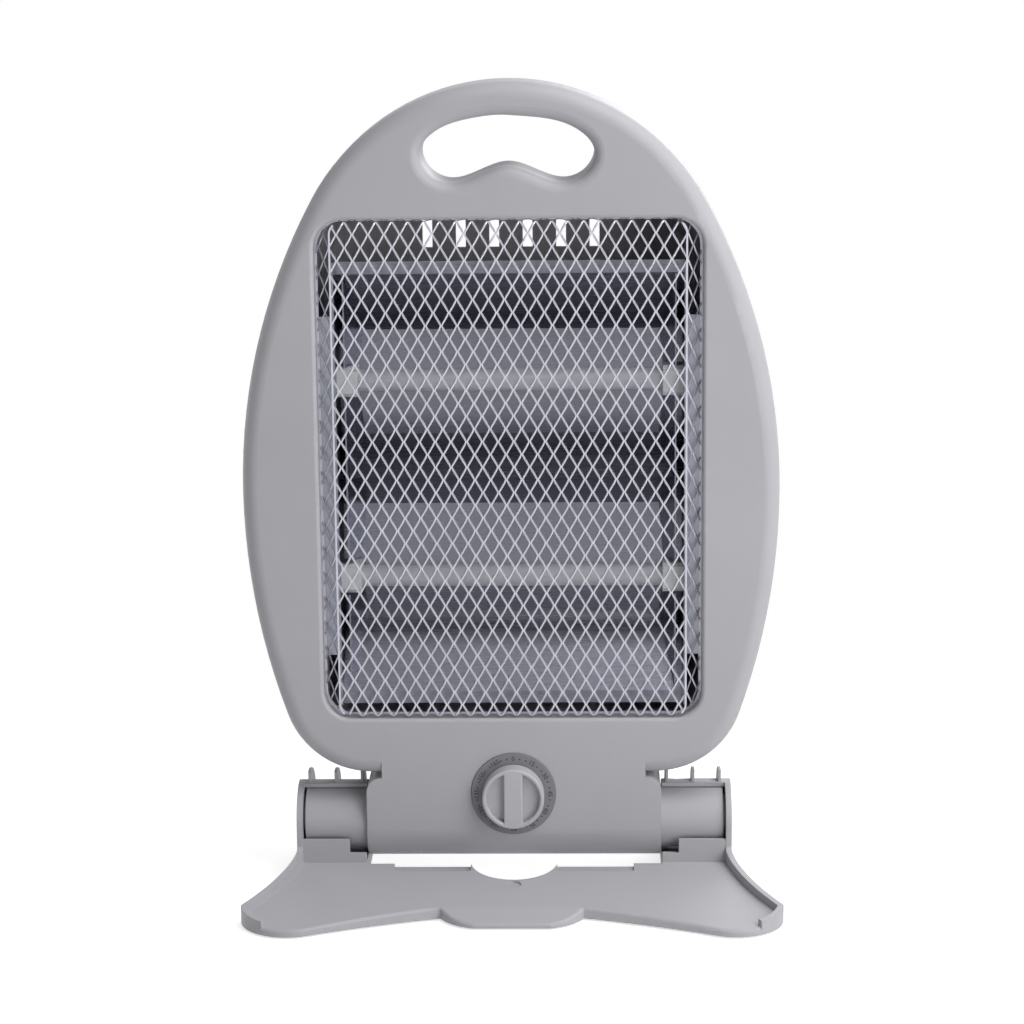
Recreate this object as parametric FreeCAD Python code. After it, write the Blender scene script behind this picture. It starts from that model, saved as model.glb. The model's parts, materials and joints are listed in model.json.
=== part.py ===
import FreeCAD, Part
import math
import os

from FreeCAD import Vector

# Driving dimensions in millimetres. The hinge axis is the datum of the sizes:
# X runs right, Y runs back, Z runs up, and the front of the heater faces -Y.

# Heater body: an upright egg-shaped case in two halves on a barrel-shaped neck
body_width = 268.0
body_top = 376.5
widest_height = 173.5
body_bottom = 27.5
barrel_radius = 18.0
neck_keel = 1.8
wall = 2.4
edge_round = 8.0
crown_share = 0.82
lower_side_share = 2.42
corner_share = 0.336

# Neck
neck_width = 150.0
shoulder_round = 8.0
neck_overlap = 10.0

# Handle hole in the crown
handle_drop = 16.2
handle_width = 84.6
handle_height = 32.5
handle_round = 5.0
handle_hole_shares = ((0.45, 0.945), (0.82, 0.77), (1.0, 0.48), (0.91, 0.15), (0.68, 0.0), (0.36, 0.1))
handle_hump_share = 0.245

# Grille opening in the front
side_margin = 38.7
bridge_height = 17.4
chin_height = 29.9
opening_corner = 14.0
opening_lip = 2.0
collar_wall = 2.2
collar_depth = 8.0

# Bulge and vents of the rear cover
bulge_side_gap = 15.5
bulge_gap = 3.4
bulge_rise = 12.5
bulge_depth = 28.0
bulge_taper = 7.0
bulge_corner = 45.0
bulge_round = 8.0
slot_width = 5.0
slot_length = 16.0
slot_pitch = 17.0
slot_count = 6
slot_margin = 2.0

# Case screws
boss_radius = 4.6
boss_edge = 12.0
screw_radius = 1.4
screw_slip = 0.05
screw_length = 16.0
head_radius = 3.0
head_height = 2.0
head_sink = 8.0
crown_boss_turn = 46.0
corner_boss_turn = 67.0
screw_hole_slack = 0.3

# Expanded-metal grille
mesh_sheet = 0.8
mesh_recess = 0.6
mesh_run = 7.5
mesh_slope_gap = 0.5
mesh_end_gap = 1.2
flange_width = 6.0
mesh_pitch_x = 13.0
mesh_pitch_z = 21.5
mesh_margin = 1.5
mesh_hole_share = 0.84
mesh_shift_shares = (0.0, 0.5)

# Reflector, its end brackets and the tubes
reflector_sheet = 0.8
reflector_side_gap = 8.8
reflector_top_gap = 22.0
reflector_bottom_gap = 4.7
reflector_lip = 6.3
reflector_front = 5.0
reflector_back = 24.0
ridge_front = 2.0
cusp_gap = 4.4
cheek_front = 4.5
cheek_back = 12.0
cheek_slack = 0.5
ridge_share = 0.516
crease_out_share = 0.205
crease_in_share = 0.284
tube_share = 0.445
tube_back = 4.0
tube_radius = 5.6
tube_wall = 1.0
tube_inset = 4.5
holder_width = 10.5
holder_size = 15.0
holder_slip = 0.1
bracket_sheet = 1.0
bracket_back = 4.0
bracket_end_gap = 18.0
bracket_tab_share = 0.36
bracket_screw_gap = 4.2
bracket_screw_inset = 5.0
bracket_boss_radius = 3.4
bracket_screw_length = 7.0
lead_hole_slack = 1.0

# Heating coils
coil_radius = 3.4
coil_wire = 0.45
coil_turns = 20
coil_tail = 6.0
tail_gap = 0.1

# Thermal cut-out on the right end bracket
cutout_radius = 7.0
cutout_height = 4.0
cutout_neck_radius = 4.0
cutout_neck_height = 2.0

# Dial, switch and knob
dial_height = 17.8
dial_radius = 21.5
dial_bore = 9.0
dial_thickness = 1.6
dial_sink = 0.8
knob_radius = 15.7
knob_height = 9.0
knob_gap = 0.4
knob_rim = 2.2
knob_bar = 9.6
knob_pocket = 3.6
knob_edge = 0.8
shaft_radius = 3.0
shaft_slip = 0.05
shaft_grip = 6.0
shaft_seat = 0.3
shaft_hold = 10.0
bush_radius = 4.6
bush_slack = 0.2
bush_length = 3.2
switch_width = 28.0
switch_height = 24.0
switch_depth = 14.0
switch_corner = 2.0

# Small pieces inside the neck
terminal_width = 26.0
terminal_height = 12.0
terminal_depth = 10.0
terminal_place_share = 0.62
terminal_groove = 3.0
tip_width = 16.0
tip_height = 20.0
tip_depth = 12.0
tip_round = 3.0
lead_radius = 1.3
lead_bend = 12.0
lead_gap = 8.0
bend_room_share = 0.45

# Cord gland in the back of the neck
gland_height = 10.0
gland_place_share = 0.45
gland_radius = 6.0
gland_flange = 8.5
gland_flange_height = 2.5
gland_bore = 3.6
gland_slip = 0.1

# Hinge
drum_radius = 16.0
drum_wall = 2.6
drum_hub = 8.0
drum_web = 4.0
spigot_radius = 11.0
spigot_flat = 8.5
spigot_slip = 0.15
spigot_flange = 13.0
spigot_flange_width = 3.0
pin_radius = 4.0
pin_slip = 0.05
pin_reach = 17.0
pin_head_radius = 6.5
pin_head = 1.5
washer_width = 1.2
washer_radius = 11.0
drum_gap = 0.5
neck_gap = 0.6

# Base
base_inset = 0.5
hinge_height = 30.5
fold_gap = 0.9
plate_gap = 2.3
front_reach = 97.0
rear_reach = 47.0
plate_wall = 2.5
plate_fall = 7.0
tongue_length = 13.705
tongue_nose = 3.4
tongue_flat = 38.0
front_round = 1.6
ledge_depth = 8.5
ledge_drop = 1.0
ledge_end = 61.0
dimple_radius = 4.0
dimple_drop = 0.6
dimple_gap = 5.5
base_lift = 1.2
rim_height = 3.0
rim_wall = 3.0
rim_start = 9.0
rim_end_turn = 30.0
wing_lean = 20.0
tower_width = 35.4
tower_wall = 3.0
hood_wall = 2.4
hood_front_turn = 100.0
hood_rear_turn = -75.0
rib_radius = 25.0
rib_wall = 1.4
rib_front_turn = 96.0
rib_rear_turn = 25.0
rib_inset = 2.0
front_wall = 2.2
front_wall_rise = 4.9
lip_width = 24.0
lip_rise = 7.3
heel_run = 9.0
rear_foot_height = 6.5
rear_foot_round = 8.0
notch_gap = 0.9
notch_side_gap = 6.3
stiffener_wall = 1.8
stiffener_pitch = 36.0
stiffener_drop = 3.0
foot_radius = 7.0
foot_boss_wall = 1.6
foot_sink = 0.8
foot_stem_radius = 2.2
foot_stem_length = 2.5
foot_slip = 0.05
front_foot_inset_x = 22.0
front_foot_inset_y = 22.0
rear_foot_inset = 10.0
# Plan points of the base as shares of the half width and of the front reach
tongue_end_shares = (0.265, 0.735)
tongue_bend_shares = (0.215, 0.637)
wing_mid_shares = (0.50, 0.838)
tip_centre_share = 0.82
tip_end_shares = (1.0, 0.788)
flare_mid_shares = (0.887, 0.47)

# One overrun serves all cuts
overrun = 1.0

# Derived sizes
half_width = body_width / 2
crown_radius = crown_share * half_width
corner_radius = corner_share * half_width
front_y = -barrel_radius
inner_depth = barrel_radius - wall
handle_top = body_top - handle_drop
handle_bottom = handle_top - handle_height
opening_width = body_width - 2 * side_margin
opening_top = handle_bottom - bridge_height
opening_bottom = body_bottom + chin_height
reflector_length = opening_width - 2 * reflector_side_gap
collar_back = front_y + collar_depth
flange_back = collar_back + mesh_sheet
bulge_width = reflector_length + 2 * bulge_side_gap
bulge_top = handle_bottom - wall - bulge_gap
bulge_bottom = body_bottom + bulge_rise
bulge_back = barrel_radius + bulge_depth
reflector_top = opening_top - reflector_top_gap
reflector_bottom = opening_bottom + reflector_bottom_gap
ridge_z = reflector_bottom + ridge_share * (reflector_top - reflector_bottom)
upper_tube_z = ridge_z + tube_share * (reflector_top - ridge_z)
lower_tube_z = ridge_z - tube_share * (ridge_z - reflector_bottom)
tube_half = reflector_length / 2 - tube_inset
dial_face_y = front_y + dial_sink - dial_thickness
knob_back_y = dial_face_y - knob_gap
knob_front_y = knob_back_y - knob_height
tower_inner = neck_width / 2 + neck_gap
tower_outer = tower_inner + tower_width
tower_wall_x = tower_outer - tower_wall
drum_end = tower_wall_x - washer_width
hood_inner = drum_radius + drum_gap
hood_outer = hood_inner + hood_wall
plate_top = hinge_height - barrel_radius - fold_gap
plate_edge = -(barrel_radius + plate_gap)
hinge_y = (front_reach - rear_reach) / 2
base_half = half_width - base_inset
notch_half = knob_radius + notch_side_gap
knob_reach = dial_height + knob_radius
knob_sweep = math.hypot(knob_reach - knob_edge, knob_front_y + knob_edge) + knob_edge


def line(start, end):
    """Straight edge between two points."""
    return Part.makeLine(start, end)


def arc(start, middle, end):
    """Arc edge through three points."""
    return Part.Arc(start, middle, end).toShape()


def mirrored(point):
    """The point on the other side of the YZ plane."""
    return Vector(-point.x, point.y, point.z)


def loop(points):
    """Closed wire of straight edges."""
    return Part.makePolygon(list(points) + [points[0]])


def pad(wire, direction):
    """Solid made by pushing a flat closed wire along a vector."""
    return Part.Face(wire).extrude(direction)


def cylinder_y(radius, start, end, x, z):
    """Cylinder along Y between two depths."""
    return Part.makeCylinder(radius, end - start, Vector(x, start, z), Vector(0, 1, 0))


def cylinder_x(radius, start, end, y=0.0, z=0.0):
    """Cylinder along X between two places."""
    return Part.makeCylinder(radius, end - start, Vector(start, y, z), Vector(1, 0, 0))


def block(x0, x1, y0, y1, z0, z1):
    """Box between two corners."""
    return Part.makeBox(x1 - x0, y1 - y0, z1 - z0, Vector(x0, y0, z0))


def edges_at_depth(shape, y):
    """Edges that lie wholly in the plane of one depth."""
    close = overrun / 1000

    def in_plane(box):
        return abs(box.YMin - y) < close and abs(box.YMax - y) < close

    return [edge for edge in shape.Edges if in_plane(edge.BoundBox)]


def rounded_rectangle(half, bottom, top, radius, y):
    """Upright rectangle with round corners in the plane of one depth."""
    slant = radius * (1 - math.sqrt(0.5))
    edges = []
    for flip in (1, -1):
        low_start = Vector(flip * (half - radius), y, bottom)
        low_mid = Vector(flip * (half - slant), y, bottom + slant)
        low_end = Vector(flip * half, y, bottom + radius)
        high_start = Vector(flip * half, y, top - radius)
        high_mid = Vector(flip * (half - slant), y, top - slant)
        high_end = Vector(flip * (half - radius), y, top)
        edges += [arc(low_start, low_mid, low_end), line(low_end, high_start)]
        edges.append(arc(high_start, high_mid, high_end))
        if flip == 1:
            edges.append(line(high_end, mirrored(high_end)))
            edges.append(line(low_start, mirrored(low_start)))
    return Part.Wire(Part.__sortEdges__(edges))


def oval_centres():
    """Centres and radii of the tangent arcs that make the egg-shaped outline."""
    rise = body_top - widest_height
    drop = widest_height - body_bottom
    upper = (half_width ** 2 + rise ** 2 - 2 * rise * crown_radius) / (2 * (half_width - crown_radius))
    lower = lower_side_share * drop
    crown_centre = Vector(0, 0, body_top - crown_radius)
    upper_centre = Vector(half_width - upper, 0, widest_height)
    lower_centre = Vector(half_width - lower, 0, widest_height)
    reach = math.sqrt((lower - corner_radius) ** 2 - (drop - corner_radius) ** 2)
    corner_centre = Vector(lower_centre.x + reach, 0, body_bottom + corner_radius)
    return crown_centre, upper_centre, upper, lower_centre, lower, corner_centre


def oval_wire(inset):
    """Outline of the body, moved inwards by the inset: crown, sides, lower corners and a flat bottom."""
    crown_centre, upper_centre, upper, lower_centre, lower, corner_centre = oval_centres()

    def on(centre, radius, angle):
        return centre + Vector(math.cos(angle), 0, math.sin(angle)) * (radius - inset)

    upper_turn = math.atan2(crown_centre.z - upper_centre.z, crown_centre.x - upper_centre.x)
    lower_turn = math.atan2(corner_centre.z - lower_centre.z, corner_centre.x - lower_centre.x)
    down = -math.pi / 2
    top = on(crown_centre, crown_radius, -down)
    shoulder = on(crown_centre, crown_radius, upper_turn)
    upper_mid = on(upper_centre, upper, upper_turn / 2)
    side = on(upper_centre, upper, 0)
    lower_mid = on(lower_centre, lower, lower_turn / 2)
    haunch = on(lower_centre, lower, lower_turn)
    corner_mid = on(corner_centre, corner_radius, (lower_turn + down) / 2)
    foot = on(corner_centre, corner_radius, down)
    right = [(shoulder, upper_mid, side), (side, lower_mid, haunch), (haunch, corner_mid, foot)]
    edges = [arc(mirrored(shoulder), top, shoulder), line(foot, mirrored(foot))]
    for start, middle, end in right:
        edges.append(arc(start, middle, end))
        edges.append(arc(mirrored(start), mirrored(middle), mirrored(end)))
    return Part.Wire(Part.__sortEdges__(edges))


def oval_half(inset, side):
    """One half of the body's bulk, rounded along its outer edge. Side is -1 at the front, 1 at the back."""
    depth = side * (barrel_radius - inset)
    bulk = pad(oval_wire(inset), Vector(0, depth, 0))
    return bulk.makeFillet(edge_round - inset, edges_at_depth(bulk, depth))


def neck_half(inset, side):
    """One half of the neck: a flat face that rolls under into the barrel, with round shoulders."""
    radius = barrel_radius - inset
    half = neck_width / 2 - inset
    waist = half - shoulder_round
    shoulder = barrel_radius
    top = body_bottom + edge_round + neck_overlap
    lean = radius * math.sqrt(0.5)
    start = Vector(-half, 0, top)
    face_top = Vector(-half, side * radius, top)
    face_low = Vector(-half, side * radius, -neck_keel)
    roll = Vector(-half, side * lean, -neck_keel - lean)
    under = Vector(-half, 0, -neck_keel - radius)
    profile = Part.Wire([line(start, face_top), line(face_top, face_low), arc(face_low, roll, under),
                         line(under, start)])
    bulk = pad(profile, Vector(2 * half, 0, 0))
    slant = shoulder_round * (1 - math.sqrt(0.5))
    low = Vector(half, 0, -neck_keel - barrel_radius)
    bend = Vector(half, 0, shoulder)
    bend_mid = Vector(half - slant, 0, shoulder + shoulder_round - slant)
    bend_end = Vector(waist, 0, shoulder + shoulder_round)
    peak = Vector(waist, 0, top)
    edges = [line(low, mirrored(low)), line(peak, mirrored(peak))]
    for point in (lambda p: p, mirrored):
        edges.append(line(point(low), point(bend)))
        edges.append(arc(point(bend), point(bend_mid), point(bend_end)))
        edges.append(line(point(bend_end), point(peak)))
    silhouette = Part.Wire(Part.__sortEdges__(edges))
    return bulk.common(pad(silhouette, Vector(0, side * barrel_radius, 0)))


def case_half(side):
    """Hollow half of the case: body and neck with an even wall, open at the parting plane."""
    outer = oval_half(0, side).fuse(neck_half(0, side)).removeSplitter()
    inner = oval_half(wall, side).fuse(neck_half(wall, side)).removeSplitter()
    return outer.cut(inner)


def handle_wire(grow, y):
    """Kidney-shaped outline of the handle hole, grown outwards, as one smooth closed curve."""
    half = handle_width / 2 + grow
    height = handle_height + 2 * grow
    bottom = handle_bottom - grow
    right = [Vector(across * half, y, bottom + up * height) for across, up in handle_hole_shares]
    top = Vector(0, y, bottom + height)
    hump = Vector(0, y, handle_bottom + handle_hump_share * handle_height - grow)
    points = [top] + right + [hump] + [mirrored(point) for point in reversed(right)]
    curve = Part.BSplineCurve()
    curve.interpolate(Points=points, PeriodicFlag=True)
    return Part.Wire(curve.toShape())


def handle_tube(side):
    """Wall round the handle hole and the hole through it, for one half of the case."""
    depth = side * barrel_radius
    tube = pad(handle_wire(wall, 0), Vector(0, depth, 0))
    hole = pad(handle_wire(0, -depth), Vector(0, 2 * depth, 0))
    return tube, hole


def soften_hole(case, side):
    """Round the outer edge of the handle hole."""
    level = side * barrel_radius
    reach = handle_width / 2 + wall

    def on_hole(edge):
        box = edge.BoundBox
        level_with = box.ZMin > handle_bottom - wall and box.ZMax < handle_top + wall
        return level_with and box.XMin > -reach and box.XMax < reach

    edges = [edge for edge in edges_at_depth(case, level) if on_hole(edge)]
    return case.makeFillet(handle_round, edges)


def boss_places():
    """Places of the case screws: along the crown, at the widest height and in the lower corners."""
    crown_centre, _, _, _, _, corner_centre = oval_centres()
    crown_turn = math.radians(crown_boss_turn)
    corner_turn = -math.radians(corner_boss_turn)
    crown_reach = crown_radius - wall - boss_edge
    corner_reach = corner_radius - wall - boss_edge
    right = [
        crown_centre + Vector(math.cos(crown_turn), 0, math.sin(crown_turn)) * crown_reach,
        Vector(half_width - wall - boss_edge, 0, widest_height),
        corner_centre + Vector(math.cos(corner_turn), 0, math.sin(corner_turn)) * corner_reach,
    ]
    return right + [mirrored(place) for place in right]


def bracket_screw_places():
    """Places of the four screws that hold the end brackets, just outside the grille's flange."""
    reach = opening_width / 2 + flange_width + bracket_screw_gap
    middle = (reflector_top + reflector_bottom) / 2
    rise = bracket_tab_share * (reflector_top - reflector_bottom)
    return [Vector(flip * reach, 0, middle + lift) for flip in (1, -1) for lift in (rise, -rise)]


def spigot_cut():
    """Opening for both drum spigots in the neck's end walls: a round hole with two flats."""
    cut = None
    for flip in (1, -1):
        start = flip * (neck_width / 2 - wall - overrun)
        end = flip * (neck_width / 2 + overrun)
        hole = cylinder_x(spigot_radius + spigot_slip, min(start, end), max(start, end))
        flat = spigot_flat + spigot_slip
        keep = block(min(start, end), max(start, end), -barrel_radius, barrel_radius, -flat, flat)
        hole = hole.common(keep)
        cut = hole if cut is None else cut.fuse(hole)
    return cut


def front_frame():
    """Front moulding: case half, handle wall, grille opening with its collar, bosses and the dial seat."""
    frame = case_half(-1)
    tube, hole = handle_tube(-1)
    half = opening_width / 2
    outer = rounded_rectangle(half + collar_wall, opening_bottom - collar_wall, opening_top + collar_wall,
                              opening_corner + collar_wall, front_y)
    inner = rounded_rectangle(half, opening_bottom, opening_top, opening_corner, front_y - overrun)
    frame = frame.fuse([tube, pad(outer, Vector(0, collar_depth, 0))])
    for place in boss_places():
        frame = frame.fuse(cylinder_y(boss_radius, front_y + wall / 2, 0, place.x, place.z))
    boss_start = front_y + wall / 2
    for place in bracket_screw_places():
        frame = frame.fuse(cylinder_y(bracket_boss_radius, boss_start, flange_back, place.x, place.z))
    outside = front_y - overrun
    inside = front_y + wall
    cuts = [hole, pad(inner, Vector(0, collar_depth + 2 * overrun, 0)), spigot_cut()]
    cuts.append(cylinder_y(dial_radius + shaft_slip, outside, front_y + dial_sink, 0, dial_height))
    cuts.append(cylinder_y(bush_radius + bush_slack, outside, inside + overrun, 0, dial_height))
    shank = screw_radius + screw_slip
    for place in boss_places():
        cuts.append(cylinder_y(shank, inside, overrun, place.x, place.z))
    for place in bracket_screw_places():
        cuts.append(cylinder_y(shank, inside, flange_back + overrun, place.x, place.z))
    frame = frame.cut(cuts).removeSplitter()
    lip = [edge for edge in edges_at_depth(frame, front_y) if is_opening_edge(edge)]
    frame = frame.makeFillet(opening_lip, lip)
    return soften_hole(frame, -1)


def is_opening_edge(edge):
    """True for an edge of the grille opening's rim."""
    box = edge.BoundBox
    close = overrun / 2
    within = abs(box.XMin) < opening_width / 2 + close and abs(box.XMax) < opening_width / 2 + close
    return within and box.ZMin > opening_bottom - close and box.ZMax < opening_top + close


def bulge(inset):
    """Tapered hump of the rear cover over the reflector, rounded along its back edge."""
    half = bulge_width / 2 - inset
    start = inner_depth - overrun
    base = rounded_rectangle(half, bulge_bottom + inset, bulge_top - inset, bulge_corner - inset, start)
    narrow = bulge_taper + inset
    radius = bulge_corner - narrow
    back = bulge_back - inset
    far_half = bulge_width / 2 - narrow
    far = rounded_rectangle(far_half, bulge_bottom + narrow, bulge_top - narrow, radius, back)
    hump = Part.makeLoft([base, far], True, True)
    return hump.makeFillet(bulge_round - inset, edges_at_depth(hump, back))


def slot(x, bottom):
    """Upright vent slot, as a cutter through the back of the bulge."""
    half = slot_width / 2
    start = bulge_back - bulge_round
    return block(x - half, x + half, start, bulge_back + overrun, bottom, bottom + slot_length)


def rear_cover():
    """Rear moulding: case half with the vented bulge, handle wall, screw tubes and the gland's hole."""
    cover = case_half(1).fuse(bulge(0)).cut(bulge(wall))
    tube, hole = handle_tube(1)
    cover = cover.fuse(tube)
    for place in boss_places():
        cover = cover.fuse(cylinder_y(boss_radius, 0, barrel_radius - wall / 2, place.x, place.z))
    cuts = [hole, spigot_cut()]
    for place in boss_places():
        shank_hole = screw_radius + screw_hole_slack
        head_hole = head_radius + screw_hole_slack
        cuts.append(cylinder_y(shank_hole, -overrun, barrel_radius + overrun, place.x, place.z))
        cuts.append(cylinder_y(head_hole, head_sink, barrel_radius + overrun, place.x, place.z))
    high = bulge_top - bulge_taper - bulge_round - slot_margin - slot_length
    low = bulge_bottom + bulge_taper + bulge_round + slot_margin
    for index in range(slot_count):
        x = (index - (slot_count - 1) / 2) * slot_pitch
        cuts.append(slot(x, high))
        cuts.append(slot(x, low))
    gland_x = gland_place_share * neck_width / 2
    gland_hole = gland_radius + gland_slip
    outside = barrel_radius + overrun
    cuts.append(cylinder_y(gland_hole, inner_depth - overrun, outside, gland_x, gland_height))
    return soften_hole(cover.cut(cuts).removeSplitter(), 1)


def case_screws():
    """Round-headed screws that join the two halves of the case."""
    screws = []
    for place in boss_places():
        shank = cylinder_y(screw_radius, head_sink - screw_length, head_sink, place.x, place.z)
        head = cylinder_y(head_radius, head_sink, head_sink + head_height, place.x, place.z)
        screws.append(shank.fuse(head).removeSplitter())
    return Part.makeCompound(screws)


def mesh_holes(half, bottom, top, radius):
    """Staggered diamond cutters that lie inside the front panel."""
    reach_x = mesh_hole_share * mesh_pitch_x / 2
    reach_z = mesh_hole_share * mesh_pitch_z / 2
    middle = (bottom + top) / 2
    columns = int(half / mesh_pitch_x) + 1
    rows = int((top - middle) / mesh_pitch_z) + 1
    start = front_y + mesh_recess - overrun
    cutters = []
    for shift in mesh_shift_shares:
        for column in range(-columns, columns + 1):
            for row in range(-rows, rows + 1):
                x = (column + shift) * mesh_pitch_x
                z = middle + (row + shift) * mesh_pitch_z
                room_x = half - mesh_margin - abs(x) - reach_x
                room_z = (top - bottom) / 2 - mesh_margin - abs(z - middle) - reach_z
                if min(room_x, room_z) < 0 or room_x + room_z < radius / 4:
                    continue
                corners = [Vector(x - reach_x, start, z), Vector(x, start, z - reach_z),
                           Vector(x + reach_x, start, z), Vector(x, start, z + reach_z)]
                cutters.append(pad(loop(corners), Vector(0, mesh_sheet + 2 * overrun, 0)))
    return cutters


def grille():
    """Mesh tray: a holed front panel, sides that slope back, steep ends and a flange behind the collar."""
    panel_y = front_y + mesh_recess
    near = mesh_run + mesh_slope_gap
    half = opening_width / 2

    def tray_loop(side, end, y):
        corner = opening_corner - side
        return rounded_rectangle(half - side, opening_bottom + end, opening_top - end, corner, y)

    outer = Part.makeLoft([tray_loop(near, mesh_end_gap, panel_y),
                           tray_loop(mesh_slope_gap, mesh_slope_gap, collar_back)], True, True)
    flange = pad(tray_loop(-flange_width, -flange_width, collar_back), Vector(0, mesh_sheet, 0))
    side_wall_gap = mesh_slope_gap + mesh_sheet
    hollow = Part.makeLoft([tray_loop(near + mesh_sheet, mesh_end_gap + mesh_sheet, panel_y + mesh_sheet),
                            tray_loop(side_wall_gap, side_wall_gap, flange_back)], True, True)
    tray = outer.fuse(flange).cut(hollow).removeSplitter()
    low = opening_bottom + mesh_end_gap
    return tray.cut(mesh_holes(half - near, low, opening_top - mesh_end_gap, opening_corner - near))


def reflector_profile():
    """Side view of the reflector's front: lips, two troughs with a cusp behind each tube, and a ridge."""
    upper = reflector_top - ridge_z
    lower = ridge_z - reflector_bottom
    cusp = tube_back + tube_radius + cusp_gap
    return [
        (-reflector_front, reflector_top),
        (-reflector_front, reflector_top - reflector_lip),
        (reflector_back, upper_tube_z + crease_out_share * upper),
        (cusp, upper_tube_z),
        (reflector_back, upper_tube_z - crease_in_share * upper),
        (-ridge_front, ridge_z),
        (reflector_back, lower_tube_z + crease_in_share * lower),
        (cusp, lower_tube_z),
        (reflector_back, lower_tube_z - crease_out_share * lower),
        (-reflector_front, reflector_bottom + reflector_lip),
        (-reflector_front, reflector_bottom),
    ]


def cheek(room):
    """Slanted right end of the troughs: a sheet across the room before them, slotted for the holders."""
    half = reflector_length / 2
    front = Vector(half - cheek_front, -reflector_front, reflector_bottom)
    back = Vector(half - cheek_back, reflector_back + reflector_sheet, reflector_bottom)
    across = Vector(reflector_sheet, 0, 0)
    height = Vector(0, 0, reflector_top - reflector_bottom)
    slab = pad(loop([front, back, back + across, front + across]), height)
    reach = holder_size / 2 + cheek_slack
    slots = []
    for z in (upper_tube_z, lower_tube_z):
        slots.append(block(0, half, -reflector_front - overrun, tube_back + reach, z - reach, z + reach))
    return slab.common(room).cut(slots)


def reflector():
    """Bright sheet folded into two troughs with a ridge between them and a slanted cheek at each end."""
    profile = reflector_profile()
    start = -reflector_length / 2
    along = Vector(reflector_length, 0, 0)
    front = [Vector(start, y, z) for y, z in profile]
    back = [Vector(start, y + reflector_sheet, z) for y, z in reversed(profile)]
    sheet = pad(loop(front + back), along)
    room = pad(loop([Vector(start, y + reflector_sheet / 2, z) for y, z in profile[1:-1]]), along)
    right = cheek(room)
    return sheet.fuse([right, right.mirror(Vector(0, 0, 0), Vector(1, 0, 0))]).removeSplitter()


def end_bracket(flip):
    """Sheet-metal end of the reflector: its foot clamps the grille's flange, and the coil tails pass it."""
    inner = reflector_length / 2
    outer = inner + bracket_sheet
    foot = opening_width / 2 + flange_width + bracket_screw_gap + bracket_screw_inset
    middle = (reflector_top + reflector_bottom) / 2
    tab = bracket_tab_share * (reflector_top - reflector_bottom) + bracket_screw_inset
    back = reflector_back + bracket_back
    plate = block(inner, outer, flange_back, back, reflector_bottom, reflector_top)
    for end in (reflector_top, reflector_bottom):
        sign = 1 if end > middle else -1
        start = end - sign * bracket_end_gap
        stop = end + sign * overrun
        corner = [Vector(inner, back, start), Vector(inner, back + overrun, start),
                  Vector(inner, back + overrun, stop), Vector(inner, 0, stop), Vector(inner, 0, end)]
        plate = plate.cut(pad(loop(corner), Vector(bracket_sheet, 0, 0)))
    foot_back = flange_back + bracket_sheet
    sheet = plate.fuse(block(inner, foot, flange_back, foot_back, middle - tab, middle + tab))
    cuts = []
    for z in (upper_tube_z, lower_tube_z):
        cuts.append(cylinder_x(coil_wire + lead_hole_slack, inner - overrun, outer + overrun, tube_back, z))
    for place in bracket_screw_places():
        if place.x > 0:
            shank_hole = screw_radius + screw_hole_slack
            start = flange_back - overrun
            cuts.append(cylinder_y(shank_hole, start, foot_back + overrun, place.x, place.z))
    sheet = sheet.cut(cuts).removeSplitter()
    return sheet if flip > 0 else sheet.mirror(Vector(0, 0, 0), Vector(1, 0, 0))


def bracket_screws():
    """Screws that hold the end brackets and the grille to the front frame."""
    screws = []
    seat = flange_back + bracket_sheet
    for place in bracket_screw_places():
        shank = cylinder_y(screw_radius, seat - bracket_screw_length, seat, place.x, place.z)
        head = cylinder_y(head_radius, seat, seat + head_height, place.x, place.z)
        screws.append(shank.fuse(head).removeSplitter())
    return Part.makeCompound(screws)


def quartz_tube(z):
    """Open glass tube along X."""
    outer = cylinder_x(tube_radius, -tube_half, tube_half, tube_back, z)
    bore = cylinder_x(tube_radius - tube_wall, -tube_half - overrun, tube_half + overrun, tube_back, z)
    return outer.cut(bore)


def tube_holder(flip, z):
    """Ceramic cap on a tube end: a block with a round socket and a small hole for the coil's tail."""
    end = reflector_length / 2
    start = end - holder_width
    half = holder_size / 2
    cap = block(start, end, tube_back - half, tube_back + half, z - half, z + half)
    upright = [edge for edge in cap.Edges if edge.BoundBox.XLength > holder_width / 2]
    cap = cap.makeChamfer(half / 4, upright)
    socket = cylinder_x(tube_radius + holder_slip, start - overrun, tube_half, tube_back, z)
    tail = cylinder_x(coil_wire + lead_hole_slack, start, end + overrun, tube_back, z)
    cap = cap.cut([socket, tail])
    return cap if flip > 0 else cap.mirror(Vector(0, 0, 0), Vector(1, 0, 0))


def biarc(start, start_way, end, end_way):
    """Two arcs that leave one point along its direction and reach the other along its direction."""
    gap = end - start
    ways = start_way + end_way
    square = 2 * (1 - start_way.dot(end_way))
    reach = (-gap.dot(ways) + math.sqrt(gap.dot(ways) ** 2 + square * gap.dot(gap))) / square
    first = start + start_way * reach
    second = end - end_way * reach
    joint = (first + second) / 2
    joint_way = (second - first).normalize()
    edges = []
    halves = ((start, start_way, joint, joint_way), (joint, joint_way, end, end_way))
    for point, way, stop, stop_way in halves:
        bend = stop_way - way
        turn = math.acos(way.dot(stop_way))
        radius = (stop - point).Length / (2 * math.sin(turn / 2))
        centre = (point + stop) / 2 + bend.normalize() * (radius * math.cos(turn / 2))
        outward = ((point + stop) / 2 - centre).normalize()
        edges.append(arc(point, centre + outward * radius, stop))
    return edges


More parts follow.
